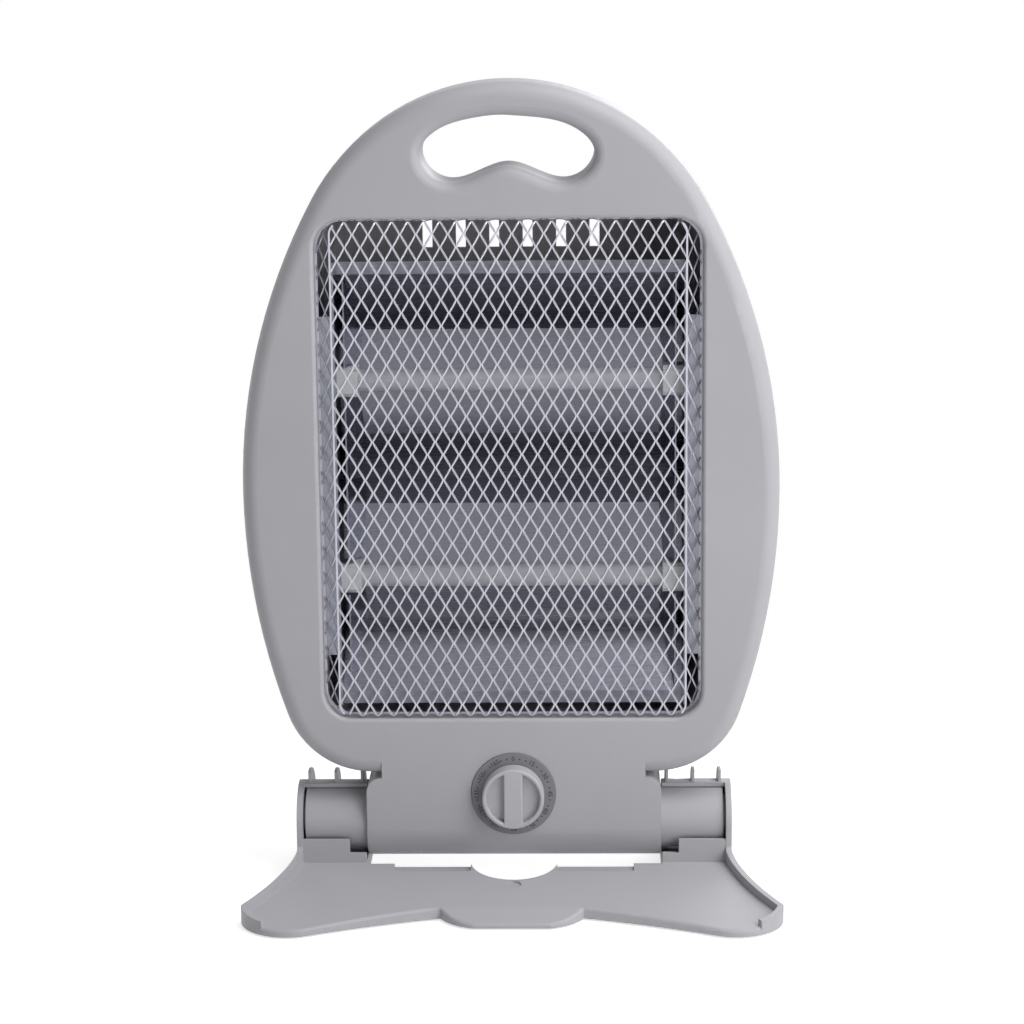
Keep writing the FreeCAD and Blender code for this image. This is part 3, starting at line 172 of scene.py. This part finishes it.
@dataclass
class Effects:
    """Surface effects shared by several finishes, each one a node group that is built once."""

    grain_detail: float = 3.0
    cloud_detail: float = 4.0
    patch_detail: float = 6.0
    patch_scale: float = 2.6
    patch_start: float = 0.46
    patch_end: float = 0.66
    line_detail: float = 2.0
    band_scale: float = 22.0
    band_detail: float = 5.0
    built: dict[str, bpy.types.NodeTree] = field(default_factory=dict)

    def start(self, name: str, inputs: tuple[str, ...],
              outputs: tuple[str, ...]) -> tuple[Nodes, bpy.types.Node, bpy.types.Node]:
        """Make an empty group with number sockets.

        Args:
            name: Name of the group.
            inputs: Names of its inputs.
            outputs: Names of its outputs.

        Returns:
            The group's nodes, its input node and its output node.
        """
        tree = bpy.data.node_groups.new(name, "ShaderNodeTree")
        for side, names in (("INPUT", inputs), ("OUTPUT", outputs)):
            for socket in names:
                tree.interface.new_socket(socket, in_out=side, socket_type="NodeSocketFloat")
        nodes = Nodes(tree)
        return nodes, nodes.add("NodeGroupInput"), nodes.add("NodeGroupOutput")

    def moulded(self) -> bpy.types.NodeTree:
        """Moulded surface: fine grain as height, slow clouding as tone and rubbed patches as gloss.

        Returns:
            The node group.
        """
        if "moulded" not in self.built:
            nodes, given, result = self.start("moulded", ("Grain", "Cloud"), ("Height", "Tone", "Rubbed"))
            place = nodes.add("ShaderNodeTexCoord").outputs["Object"]
            grain, cloud = given.outputs["Grain"], given.outputs["Cloud"]
            patch = nodes.noise(place, nodes.math("MULTIPLY", cloud, self.patch_scale), self.patch_detail)
            limits = {"Value": patch, "From Min": self.patch_start, "From Max": self.patch_end}
            nodes.feed(result, Height=nodes.noise(place, grain, self.grain_detail),
                       Tone=nodes.noise(place, cloud, self.cloud_detail),
                       Rubbed=nodes.add("ShaderNodeMapRange", limits).outputs[0])
            self.built["moulded"] = nodes.tree
        return self.built["moulded"]

    def rolled(self) -> bpy.types.NodeTree:
        """Rolled sheet: fine lines along X as height, and wide uneven bands as tone.

        Returns:
            The node group.
        """
        if "rolled" not in self.built:
            nodes, given, result = self.start("rolled", ("Lines", "Stretch"), ("Height", "Tone"))
            place = nodes.add("ShaderNodeTexCoord").outputs["Object"]
            along = nodes.add("ShaderNodeCombineXYZ", {"X": given.outputs["Stretch"], "Y": 1.0, "Z": 1.0})
            drawn = nodes.add("ShaderNodeVectorMath", {0: place, 1: along.outputs[0]}, operation="MULTIPLY")
            nodes.feed(result, Height=nodes.noise(drawn.outputs[0], given.outputs["Lines"], self.line_detail),
                       Tone=nodes.noise(place, self.band_scale, self.band_detail))
            self.built["rolled"] = nodes.tree
        return self.built["rolled"]


EFFECTS = Effects()


@dataclass(frozen=True)
class Finish:
    """A finish by name, with its colour as the eye reads it and its mean roughness."""

    name: str
    colour: Colour
    roughness: float

    def begin(self) -> tuple[bpy.types.Material, Nodes, bpy.types.Node]:
        """Start the material.

        Returns:
            The material, its nodes and its shader.
        """
        material = bpy.data.materials.new(self.name)
        material.use_nodes = True
        nodes = Nodes(material.node_tree)
        shader = nodes.add("ShaderNodeBsdfPrincipled")
        nodes.add("ShaderNodeOutputMaterial", {"Surface": shader.outputs[0]})
        return material, nodes, shader


@dataclass(frozen=True)
class Moulded(Finish):
    """Moulded plastic, rubber or ceramic: grain, clouding and rubbed patches."""

    grain: float = 1800.0
    depth: float = 0.05
    cloud: float = 14.0
    tone: float = 0.03
    gloss: float = 0.06
    specular: float = 0.45
    edge: float = 0.6 * MM

    def material(self) -> bpy.types.Material:
        """Build the material, with edges that catch the light as rounded ones do.

        Returns:
            The material.
        """
        material, nodes, shader = self.begin()
        given = {"Grain": self.grain, "Cloud": self.cloud}
        effect = nodes.add("ShaderNodeGroup", given, node_tree=EFFECTS.moulded()).outputs
        dark, light = scaled(self.colour, 1 - self.tone), scaled(self.colour, 1 + self.tone)
        edge = nodes.add("ShaderNodeBevel", {"Radius": self.edge})
        relief = {"Height": effect["Height"], "Strength": self.depth, "Distance": RELIEF}
        bump = nodes.add("ShaderNodeBump", {**relief, "Normal": edge.outputs[0]})
        gloss = nodes.spread(effect["Rubbed"], self.roughness + self.gloss, self.roughness - self.gloss)
        colour = nodes.mix(effect["Tone"], dark, light)
        nodes.feed(shader, Base_Color=colour, Roughness=gloss, Normal=bump.outputs[0])
        shader.inputs["Specular IOR Level"].default_value = self.specular
        return material


@dataclass(frozen=True)
class Sheet(Finish):
    """Rolled or drawn metal: fine lines along X and uneven bands."""

    lines: float = 900.0
    stretch: float = 0.03
    depth: float = 0.15
    tone: float = 0.06
    gloss: float = 0.08
    metal: float = 1.0

    def material(self) -> bpy.types.Material:
        """Build the material.

        Returns:
            The material.
        """
        material, nodes, shader = self.begin()
        given = {"Lines": self.lines, "Stretch": self.stretch}
        effect = nodes.add("ShaderNodeGroup", given, node_tree=EFFECTS.rolled()).outputs
        dark, light = scaled(self.colour, 1 - self.tone), scaled(self.colour, 1 + self.tone)
        relief = {"Height": effect["Height"], "Strength": self.depth, "Distance": RELIEF}
        bump = nodes.add("ShaderNodeBump", relief)
        gloss = nodes.spread(effect["Height"], self.roughness - self.gloss, self.roughness + self.gloss)
        colour = nodes.mix(effect["Tone"], dark, light)
        nodes.feed(shader, Base_Color=colour, Roughness=gloss, Normal=bump.outputs[0])
        shader.inputs["Metallic"].default_value = self.metal
        return material


@dataclass(frozen=True)
class Quartz(Finish):
    """Frosted quartz glass with faint drawn streaks along the tube."""

    clear: float = 0.3
    index: float = 1.46
    streaks: float = 420.0
    stretch: float = 0.02
    milky_share: float = 0.9
    less_frost: float = 0.08
    more_frost: float = 0.1

    def material(self) -> bpy.types.Material:
        """Build the material.

        Returns:
            The material.
        """
        material, nodes, shader = self.begin()
        given = {"Lines": self.streaks, "Stretch": self.stretch}
        effect = nodes.add("ShaderNodeGroup", given, node_tree=EFFECTS.rolled()).outputs
        milky = scaled(self.colour, self.milky_share)
        least, most = self.roughness - self.less_frost, self.roughness + self.more_frost
        frost = nodes.spread(effect["Tone"], least, most)
        nodes.feed(shader, Base_Color=nodes.mix(effect["Height"], milky, self.colour), Roughness=frost)
        shader.inputs["Transmission Weight"].default_value = self.clear
        shader.inputs["IOR"].default_value = self.index
        return material


CASE = Moulded("case_plastic", (0.668, 0.665, 0.684), 0.5, gloss=0.02, specular=0.3)
KNOB = Moulded("knob_plastic", (0.69, 0.688, 0.705), 0.4, grain=2200.0)
DIAL = Moulded("dial_plastic", (0.475, 0.473, 0.49), 0.45, tone=0.06)
MARKS = Moulded("dial_marks", (0.13, 0.13, 0.14), 0.5)
INNER = Moulded("inner_plastic", (0.16, 0.16, 0.17), 0.5, tone=0.08)
WASHER = Moulded("washer_plastic", (0.82, 0.82, 0.8), 0.5)
RUBBER = Moulded("foot_rubber", (0.12, 0.12, 0.125), 0.8, depth=0.15, tone=0.1, specular=0.3)
CERAMIC = Moulded("holder_ceramic", (0.8, 0.8, 0.81), 0.6, grain=2600.0, depth=0.12, tone=0.04)
SLEEVE = Moulded("lead_sleeve", (0.84, 0.83, 0.79), 0.85, grain=3200.0, depth=0.3, tone=0.08)
MESH = Sheet("mesh_steel", (0.8, 0.8, 0.84), 0.36, lines=1500.0, stretch=0.4, tone=0.05, metal=0.55)
REFLECTOR = Sheet("reflector_sheet", (0.5, 0.505, 0.545), 0.28)
PLATED = Sheet("plated_steel", (0.6, 0.61, 0.65), 0.38)
SCREW = Sheet("screw_steel", (0.68, 0.68, 0.69), 0.3, stretch=1.0)
WIRE = Sheet("coil_wire", (0.42, 0.4, 0.39), 0.45, stretch=1.0)
QUARTZ = Quartz("quartz_glass", (0.84, 0.84, 0.87), 0.3)
FINISHES = (CASE, KNOB, DIAL, INNER, WASHER, RUBBER, CERAMIC, SLEEVE, MESH, REFLECTOR, PLATED, SCREW, WIRE,
            QUARTZ)


class Piece:
    """Mesh making shared by the new pieces."""

    @staticmethod
    def from_grid(name: str, points: Array, faces: Array) -> bpy.types.Object:
        """Put computed points and flat four-sided faces into a new object at the origin.

        Args:
            name: Name of the piece.
            points: Rows of X, Y and Z.
            faces: Rows of four point numbers.

        Returns:
            The new object, linked to the scene.
        """
        mesh = bpy.data.meshes.new(name)
        mesh.vertices.add(len(points))
        mesh.vertices.foreach_set("co", np.ascontiguousarray(points, dtype=np.float32).ravel())
        mesh.loops.add(faces.size)
        mesh.loops.foreach_set("vertex_index", np.ascontiguousarray(faces, dtype=np.int32).ravel())
        mesh.polygons.add(len(faces))
        mesh.polygons.foreach_set("loop_start", np.arange(0, faces.size, faces.shape[1], dtype=np.int32))
        mesh.polygons.foreach_set("use_smooth", np.zeros(len(faces), dtype=bool))
        mesh.update(calc_edges=True)
        mesh.validate()
        piece = bpy.data.objects.new(name, mesh)
        bpy.context.scene.collection.objects.link(piece)
        return piece

    @staticmethod
    def hand_in(piece: bpy.types.Object, body: Body, slot: Slot, finish: bpy.types.Material) -> None:
        """Dress a piece and tie it to its body.

        Args:
            piece: The new piece.
            body: Moving body that carries it.
            slot: Material slot of the record; not used.
            finish: Material that it shows.
        """
        piece.data.materials.append(finish)
        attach(piece, body.value)
        log.info("piece %s with %d faces", piece.name, len(piece.data.polygons))

    @staticmethod
    def walls(start: Array, end: Array) -> Array:
        """Faces between two rings of point numbers, one for each side of the ring."""
        return np.stack([start, np.roll(start, -1, axis=-1), np.roll(end, -1, axis=-1), end], axis=-1)


@dataclass
class GrilleTray:
    """Expanded-metal tray: zigzag strands bonded to their neighbours, bent back at the sides, on a flange.

    From the front panel to the flange the tray follows a family of rounded rectangles, as the solid does
    that it stands for. The family's share is 0 at the panel and 1 at the flange.
    """

    pitch_x: float = 7.8 * MM
    pitch_z: float = 12.9 * MM
    strand: float = 0.8 * MM
    sheet: float = 0.8 * MM
    roll: float = math.radians(28)
    flange: float = 6.0 * MM
    gap: float = 0.5 * MM
    side_run: float = 7.5 * MM
    end_run: float = 0.7 * MM
    corner: float = 6.0 * MM
    crease: float = 0.9 * MM
    crease_turn: float = math.radians(50)
    crease_depths: tuple[float, float] = (0.1, 0.9)
    crease_steps: int = 8
    corner_steps: int = 9
    steps: int = 8
    halvings: int = 20
    apex_share: float = 0.985
    bond_share: float = 0.3
    front: float = field(init=False)
    back: float = field(init=False)
    rise: float = field(init=False)
    half: float = field(init=False)
    low: float = field(init=False)
    high: float = field(init=False)

    def __post_init__(self) -> None:
        """Take the panel's box from the solid tray."""
        low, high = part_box("grille")
        self.front = low[1]
        self.back = high[1] - self.sheet
        self.rise = self.back - self.front
        self.half = high[0] - self.flange - self.gap - self.side_run
        self.low = low[2] + self.flange + self.gap + self.end_run
        self.high = high[2] - self.flange - self.gap - self.end_run

    def bend(self, flat: Array, low: float, high: float, run: float) -> Array:
        """Carry a place on the flat sheet to the plan: beyond the panel's edge the sheet is foreshortened.

        Args:
            flat: Places on the flat sheet along one direction.
            low: Start of the flat panel.
            high: End of the flat panel.
            run: How far the bent part reaches along that direction.

        Returns:
            Places along that direction as seen from the front.
        """
        inside = np.clip(flat, low, high)
        return inside + (flat - inside) * run / math.hypot(run, self.rise)

    def beyond(self, x: Array, z: Array, share: Array) -> Array:
        """Signed distance of a plan place outside the family's rounded rectangle at a share.

        Args:
            x: Places across.
            z: Places up.
            share: Shares of the family, 0 at the panel and 1 at the flange.

        Returns:
            Distances, below zero inside the rectangle.
        """
        corner = self.corner + share * self.side_run
        middle, tall = (self.low + self.high) / 2, self.high - self.low
        over_x = np.abs(x) - self.half - share * self.side_run + corner
        over_z = np.abs(z - middle) - tall / 2 - share * self.end_run + corner
        outside = np.hypot(np.maximum(over_x, 0), np.maximum(over_z, 0))
        return outside + np.minimum(np.maximum(over_x, over_z), 0) - corner

    def share(self, x: Array, z: Array) -> Array:
        """Share of the family's rectangle that a plan place lies on, found by halving between 0 and 1.

        Args:
            x: Places across.
            z: Places up.

        Returns:
            Shares, 0 on the panel.
        """
        low, high = np.zeros_like(x), np.ones_like(x)
        for _ in range(self.halvings):
            middle = (low + high) / 2
            out = self.beyond(x, z, middle) > 0
            low, high = np.where(out, middle, low), np.where(out, high, middle)
        return low

    def strands(self) -> bpy.types.Object:
        """Build all strands as one mesh.

        Strand k runs up the sheet at half a pitch times k and swings to both sides as a rounded triangle
        wave, arcsin(a sin t) / arcsin(a), with odd strands in the opposite phase, so that neighbours meet
        at the bonds. A flat bar is carried along it and rolls with the swing, then the sheet is bent along
        the panel's edge.

        Returns:
            The mesh object.
        """
        count = int((self.half + math.hypot(self.side_run, self.rise)) / (self.pitch_x / 2))
        numbers = np.arange(-count, count + 1)
        tall = self.high - self.low + 2 * math.hypot(self.end_run, self.rise)
        rows = int(math.ceil(tall / self.pitch_z)) * self.steps
        middle = (self.low + self.high) / 2
        along = middle + (np.arange(rows + 1) - rows / 2) * self.pitch_z / self.steps
        turn = 2 * math.pi * (along - middle) / self.pitch_z
        sign = np.where(numbers % 2 == 0, 1.0, -1.0)[:, None]
        reach = self.pitch_x / 4 - self.bond_share * self.strand
        wave = np.arcsin(self.apex_share * np.sin(turn)) / math.asin(self.apex_share)
        across = numbers[:, None] * self.pitch_x / 2 + sign * reach * wave[None, :]
        up = np.broadcast_to(along, across.shape)
        lean_x = np.gradient(across, axis=1)
        lean_z = np.gradient(up, axis=1)
        length = np.hypot(lean_x, lean_z)
        side_x, side_z = lean_z / length, -lean_x / length
        roll = sign * self.roll * np.cos(turn)[None, :]
        corners = []
        for wide, deep in ((-1, -1), (1, -1), (1, 1), (-1, 1)):
            flat = wide * self.strand / 2 * np.cos(roll) - deep * self.sheet / 2 * np.sin(roll)
            out = wide * self.strand / 2 * np.sin(roll) + deep * self.sheet / 2 * np.cos(roll)
            x = self.bend(across + side_x * flat, -self.half, self.half, self.side_run)
            z = self.bend(up + side_z * flat, self.low, self.high, self.end_run)
            fall = self.share(x, z) * (self.rise - self.sheet)
            corners.append(np.stack([x, self.front + self.sheet + fall + out, z], -1))
        points = np.stack(corners, axis=2)
        whole = np.ones(across.shape)
        keep = self.beyond(points[:, :, :, 0].mean(2), points[:, :, :, 2].mean(2), whole) < 0
        strand_count, samples = across.shape
        index = np.arange(strand_count * samples * 4).reshape(strand_count, samples, 4)
        good = keep[:, :-1] & keep[:, 1:]
        quads = Piece.walls(index[:, :-1], index[:, 1:])
        faces = np.concatenate([quads[good].reshape(-1, 4), self.end_caps(index, good)])
        used, places = np.unique(faces, return_inverse=True)
        return Piece.from_grid("grille_mesh", points.reshape(-1, 3)[used], places.reshape(faces.shape))

    @staticmethod
    def end_caps(index: Array, good: Array) -> Array:
        """Square ends of each strand where the sheet's edge cuts it.

        Args:
            index: Point numbers by strand, sample and corner.
            good: Whether each stretch between two samples is kept.

        Returns:
            Rows of four point numbers.
        """
        edge = np.pad(good, ((0, 0), (1, 1)))
        opens = edge[:, 1:] & ~edge[:, :-1]
        closes = edge[:, :-1] & ~edge[:, 1:]
        return np.concatenate([index[opens][:, ::-1], index[closes]])

    def creases(self) -> bpy.types.Object:
        """Build the pressed line along both bends: a flat bar up each side and partly round its corners.

        Returns:
            The mesh object.
        """
        rising = np.linspace(0, self.crease_turn, self.crease_steps)
        turn = np.concatenate([-rising[::-1], rising])
        top, foot = self.crease_depths
        lower = np.arange(turn.size) < turn.size // 2
        centre = np.where(lower, self.low + self.corner, self.high - self.corner)
        bars, faces = [], []
        for side in (1, -1):
            rings = []
            for wide, deep in ((-1, top), (1, top), (1, foot), (-1, foot)):
                grow = self.corner + wide * self.crease / 2
                x = side * (self.half - self.corner + grow * np.cos(turn))
                y = np.full(turn.size, self.front + deep * self.sheet)
                rings.append(np.stack([x, y, centre + grow * np.sin(turn)], -1))
            bar = np.stack(rings, axis=1)
            index = np.arange(turn.size * 4).reshape(-1, 4) + 4 * turn.size * len(bars)
            quads = Piece.walls(index[:-1], index[1:]).reshape(-1, 4)
            quads = np.concatenate([quads, index[:1, ::-1], index[-1:]])
            faces.append(quads if side > 0 else quads[:, ::-1])
            bars.append(bar.reshape(-1, 3))
        return Piece.from_grid("grille_creases", np.concatenate(bars), np.concatenate(faces))

    def rounded_loop(self, grow: float, grow_end: float) -> Array:
        """Panel's rounded rectangle grown by two sizes, with quarter circles in even steps.

        Args:
            grow: How far it grows to both sides, and its corners with it.
            grow_end: How far it grows up and down.

        Returns:
            Rows of X and Z.
        """
        turns = np.linspace(0, math.pi / 2, self.corner_steps)
        corner = self.corner + grow
        loops = []
        for quarter, (x, z) in enumerate(((1, 1), (-1, 1), (-1, -1), (1, -1))):
            angle = turns + quarter * math.pi / 2
            centre_z = self.high + grow_end - corner if z > 0 else self.low - grow_end + corner
            loops.append(np.stack([x * (self.half + grow - corner) + corner * np.cos(angle),
                                   centre_z + corner * np.sin(angle)], -1))
        return np.concatenate(loops)

    def rim(self) -> bpy.types.Object:
        """Build the flange behind the frame's collar: a flat ring swept round the rounded rectangle.

        Returns:
            The mesh object.
        """
        wide = self.flange + self.gap
        inner = self.rounded_loop(self.side_run - self.sheet, self.end_run - self.sheet)
        outer = self.rounded_loop(self.side_run + wide, self.end_run + wide)
        rings = []
        for plan, depth in ((inner, 0), (outer, 0), (outer, self.sheet), (inner, self.sheet)):
            rings.append(np.stack([plan[:, 0], np.full(len(plan), self.back + depth), plan[:, 1]], -1))
        points = np.stack(rings, axis=1)
        index = np.arange(len(points) * 4).reshape(-1, 4)
        faces = Piece.walls(np.roll(index, -1, axis=0), index)
        return Piece.from_grid("grille_flange", points.reshape(-1, 3), faces.reshape(-1, 4))

    def build(self, finish: bpy.types.Material) -> None:
        """Make the tray and let it stand for the solid one.

        Args:
            finish: Material of the tray.
        """
        for piece in (self.strands(), self.creases(), self.rim()):
            Piece.hand_in(piece, Body.HEATER, Slot.MESH, finish)
            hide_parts("grille")


@dataclass
class DialMarks:
    """Printed marks round the dial: plain numbers with small dots between them."""

    radius: float = 18.6 * MM
    dot: float = 0.4 * MM
    number: float = 3.4 * MM
    height: float = 0.05 * MM
    count: int = 12
    step: int = 15
    dots_between: int = 2
    sides: int = 12
    curve_steps: int = 2
    merge_share: float = 0.1
    centre: Vector = field(init=False)

    def __post_init__(self) -> None:
        """Take the dial's middle and its face from the solid ring."""
        low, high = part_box("dial_ring")
        self.centre = Vector(((low[0] + high[0]) / 2, low[1], (low[2] + high[2]) / 2))

    def dots(self) -> bpy.types.Object:
        """Build the dots: short round prints on even places of a circle, between the numbers.

        Returns:
            The mesh object.
        """
        every = self.dots_between + 1
        place = np.arange(self.count * every)
        place = place[place % every > 0] * 2 * math.pi / (self.count * every)
        turn = np.arange(self.sides) * 2 * math.pi / self.sides
        x = self.centre.x + self.radius * np.sin(place)[:, None] + self.dot * np.cos(turn)[None, :]
        z = self.centre.z + self.radius * np.cos(place)[:, None] + self.dot * np.sin(turn)[None, :]
        front = np.stack([x, np.full(x.shape, self.centre.y - self.height), z], -1)
        points = np.stack([front, front + np.array([0.0, self.height, 0.0])], axis=1)
        index = np.arange(place.size * 2 * self.sides).reshape(place.size, 2, self.sides)
        walls = Piece.walls(index[:, 0], index[:, 1]).reshape(-1, 4)
        rise = np.arange(self.sides // 2 - 1)
        lids = [np.stack([ring[:, rise], ring[:, self.sides - 1 - rise], ring[:, self.sides - 2 - rise],
                          ring[:, rise + 1]], -1).reshape(-1, 4) for ring in (index[:, 0], index[:, 1, ::-1])]
        return Piece.from_grid("dial_dots", points.reshape(-1, 3), np.concatenate([walls, *lids]))

    def numbers(self) -> bpy.types.Object:
        """Build the numbers: plain figures that stand on the circle and follow it round.

        Returns:
            The mesh object.
        """
        merged = bmesh.new()
        for place in range(self.count):
            figure = bpy.data.curves.new("figure", "FONT")
            figure.body = str(place * self.step)
            figure.size = self.number
            figure.extrude = self.height / 2
            figure.align_x, figure.align_y = "CENTER", "CENTER"
            figure.resolution_u = self.curve_steps
            holder = bpy.data.objects.new("figure", figure)
            flat = bpy.data.meshes.new_from_object(holder)
            turn = Matrix.Rotation(place * 2 * math.pi / self.count, 4, "Y")
            lift = Matrix.Translation((0, -self.height / 2, self.radius))
            upright = lift @ Matrix.Rotation(math.pi / 2, 4, "X")
            flat.transform(Matrix.Translation(self.centre) @ turn @ upright)
            merged.from_mesh(flat)
            bpy.data.objects.remove(holder)
            bpy.data.curves.remove(figure)
            bpy.data.meshes.remove(flat)
        bmesh.ops.remove_doubles(merged, verts=merged.verts, dist=self.merge_share * self.height)
        mesh = bpy.data.meshes.new("dial_numbers")
        merged.to_mesh(mesh)
        merged.free()
        piece = bpy.data.objects.new("dial_numbers", mesh)
        bpy.context.scene.collection.objects.link(piece)
        return piece

    def build(self, finish: bpy.types.Material) -> None:
        """Print the dots and the numbers on the dial's face.

        Args:
            finish: Material of the print.
        """
        for piece in (self.dots(), self.numbers()):
            Piece.hand_in(piece, Body.HEATER, Slot.DIAL, finish)


@dataclass
class Assembly:
    """Solids that show as they are, each dressed in the finish of its material slot."""

    frame: dict

    def dress(self, finishes: dict[str, bpy.types.Material]) -> None:
        """Give every solid its finish.

        Args:
            finishes: Materials by the name of their slot.
        """
        slots = {row["node"]: row["material_slot"] for row in self.frame["record"]["subparts"]}
        for name, solid in self.frame["nodes"].items():
            solid.data.materials.clear()
            solid.data.materials.append(finishes[slots[name]])
            log.info("solid %s in %s", name, slots[name])


@dataclass(frozen=True)
class Lamp:
    """Soft square lamp: its place and its side in metres, and its power in watts."""

    name: str
    place: Place
    side: float
    power: float


LAMPS = (
    Lamp("key", (0.7, -0.5, 0.65), 0.7, 4.1),
    Lamp("front", (1.0, -1.3, 0.24), 0.8, 7.2),
    Lamp("top", (0.7, -0.3, 1.8), 1.1, 21.0),
    Lamp("back", (0.7, 1.5, 0.9), 0.9, 11.0),
    Lamp("left", (-1.3, 0.5, 0.3), 0.8, 3.5),
)


@dataclass
class Studio:
    """Pale floor, white surroundings, soft lamps and the camera of the photograph.

    Angles are in degrees, and the lens and its sensor in millimetres.
    """

    aim: Place = (0.7 * MM, 7.0 * MM, 195.0 * MM)
    distance: float = 1.4
    azimuth: float = 1.5
    elevation: float = 12.6
    roll: float = 0.6
    lens: float = 98.97
    sensor: float = 36.0
    floor_reach: float = 6.0
    floor_tone: float = 0.92
    floor_lift: float = 0.64
    shadow_near: float = 0.1
    shadow_far: float = 0.34
    ambient: float = 0.17

    def surroundings(self) -> None:
        """White world for the camera, for gloss and for glass, and an even dimmer light for the rest."""
        world = bpy.data.worlds.new("studio")
        bpy.context.scene.world = world
        world.use_nodes = True
        nodes = Nodes(world.node_tree)
        path = nodes.add("ShaderNodeLightPath")
        seen = nodes.math("MAXIMUM", path.outputs["Is Camera Ray"], path.outputs["Is Glossy Ray"])
        seen = nodes.math("MAXIMUM", seen, path.outputs["Is Transmission Ray"])
        even = nodes.add("ShaderNodeBackground", {"Color": WHITE, "Strength": self.ambient})
        white = nodes.add("ShaderNodeBackground", {"Color": WHITE, "Strength": 1.0})
        both = nodes.add("ShaderNodeMixShader", {0: seen, 1: even.outputs[0], 2: white.outputs[0]})
        nodes.add("ShaderNodeOutputWorld", {"Surface": both.outputs[0]})

    def floor(self) -> None:
        """White floor that keeps the shadow: a matt coat near the heater, plain white further out."""
        reach = self.floor_reach
        points = np.array([[-reach, -reach, 0], [reach, -reach, 0], [reach, reach, 0], [-reach, reach, 0]])
        floor = Piece.from_grid("floor", points, np.array([[0, 1, 2, 3]]))
        material = bpy.data.materials.new("floor_white")
        material.use_nodes = True
        nodes = Nodes(material.node_tree)
        matt = nodes.add("ShaderNodeBsdfDiffuse", {"Color": (*[self.floor_tone] * 3, 1.0)})
        path = nodes.add("ShaderNodeLightPath").outputs
        lift = nodes.math("MULTIPLY", path["Is Camera Ray"], self.floor_lift)
        glow = nodes.add("ShaderNodeEmission", {"Color": WHITE, "Strength": lift})
        lit = nodes.add("ShaderNodeAddShader", {0: matt.outputs[0], 1: glow.outputs[0]})
        white = nodes.add("ShaderNodeEmission", {"Color": WHITE, "Strength": 1.0})
        place = nodes.add("ShaderNodeTexCoord").outputs["Object"]
        away = nodes.add("ShaderNodeVectorMath", {0: place}, operation="LENGTH").outputs["Value"]
        limits = {"Value": away, "From Min": self.shadow_near, "From Max": self.shadow_far}
        far = nodes.add("ShaderNodeMapRange", limits, interpolation_type="SMOOTHSTEP").outputs[0]
        far = nodes.math("MULTIPLY", far, path["Is Camera Ray"])
        seen = nodes.math("MAXIMUM", path["Is Glossy Ray"], path["Is Transmission Ray"])
        share = nodes.math("MAXIMUM", seen, far)
        both = nodes.add("ShaderNodeMixShader", {0: share, 1: lit.outputs[0], 2: white.outputs[0]})
        nodes.add("ShaderNodeOutputMaterial", {"Surface": both.outputs[0]})
        floor.data.materials.append(material)

    def hang(self, lamp: Lamp) -> None:
        """Put up a lamp that shines at the middle of the heater.

        Args:
            lamp: The lamp.
        """
        light = bpy.data.lights.new(lamp.name, "AREA")
        light.size = lamp.side
        light.energy = lamp.power
        holder = bpy.data.objects.new(lamp.name, light)
        holder.location = lamp.place
        holder.rotation_euler = (Vector(self.aim) - Vector(lamp.place)).to_track_quat("-Z", "Y").to_euler()
        bpy.context.scene.collection.objects.link(holder)

    def camera(self) -> None:
        """Camera at the photograph's distance, angle and slight roll."""
        angles = self.azimuth, self.elevation, self.roll
        azimuth, elevation, roll = (math.radians(angle) for angle in angles)
        back = Vector((math.sin(azimuth) * math.cos(elevation), -math.cos(azimuth) * math.cos(elevation),
                       math.sin(elevation)))
        right = (-back).cross(Vector((0, 0, 1))).normalized()
        up = right.cross(-back)
        turned_right = right * math.cos(roll) - up * math.sin(roll)
        turned_up = right * math.sin(roll) + up * math.cos(roll)
        lens = bpy.data.cameras.new("camera")
        lens.lens = self.lens
        lens.sensor_width = self.sensor
        lens.sensor_fit = "HORIZONTAL"
        camera = bpy.data.objects.new("camera", lens)
        place = Vector(self.aim) + back * self.distance
        columns = Matrix((turned_right, turned_up, back)).transposed().to_4x4()
        camera.matrix_world = Matrix.Translation(place) @ columns
        bpy.context.scene.collection.objects.link(camera)
        bpy.context.scene.camera = camera

    def build(self) -> None:
        """Set up the whole studio."""
        bpy.context.scene.view_settings.view_transform = "Standard"
        self.surroundings()
        self.floor()
        for lamp in LAMPS:
            self.hang(lamp)
        self.camera()


def main() -> None:
    """Load the frame, build each sub-assembly in order and report its pieces."""
    logging.basicConfig(level=logging.INFO, format="%(message)s")
    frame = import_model()
    finishes = {finish.name: finish.material() for finish in FINISHES}
    Assembly(frame).dress(finishes)
    GrilleTray().build(finishes[MESH.name])
    DialMarks().build(MARKS.material())
    Studio().build()


if __name__ == "__main__":
    main()
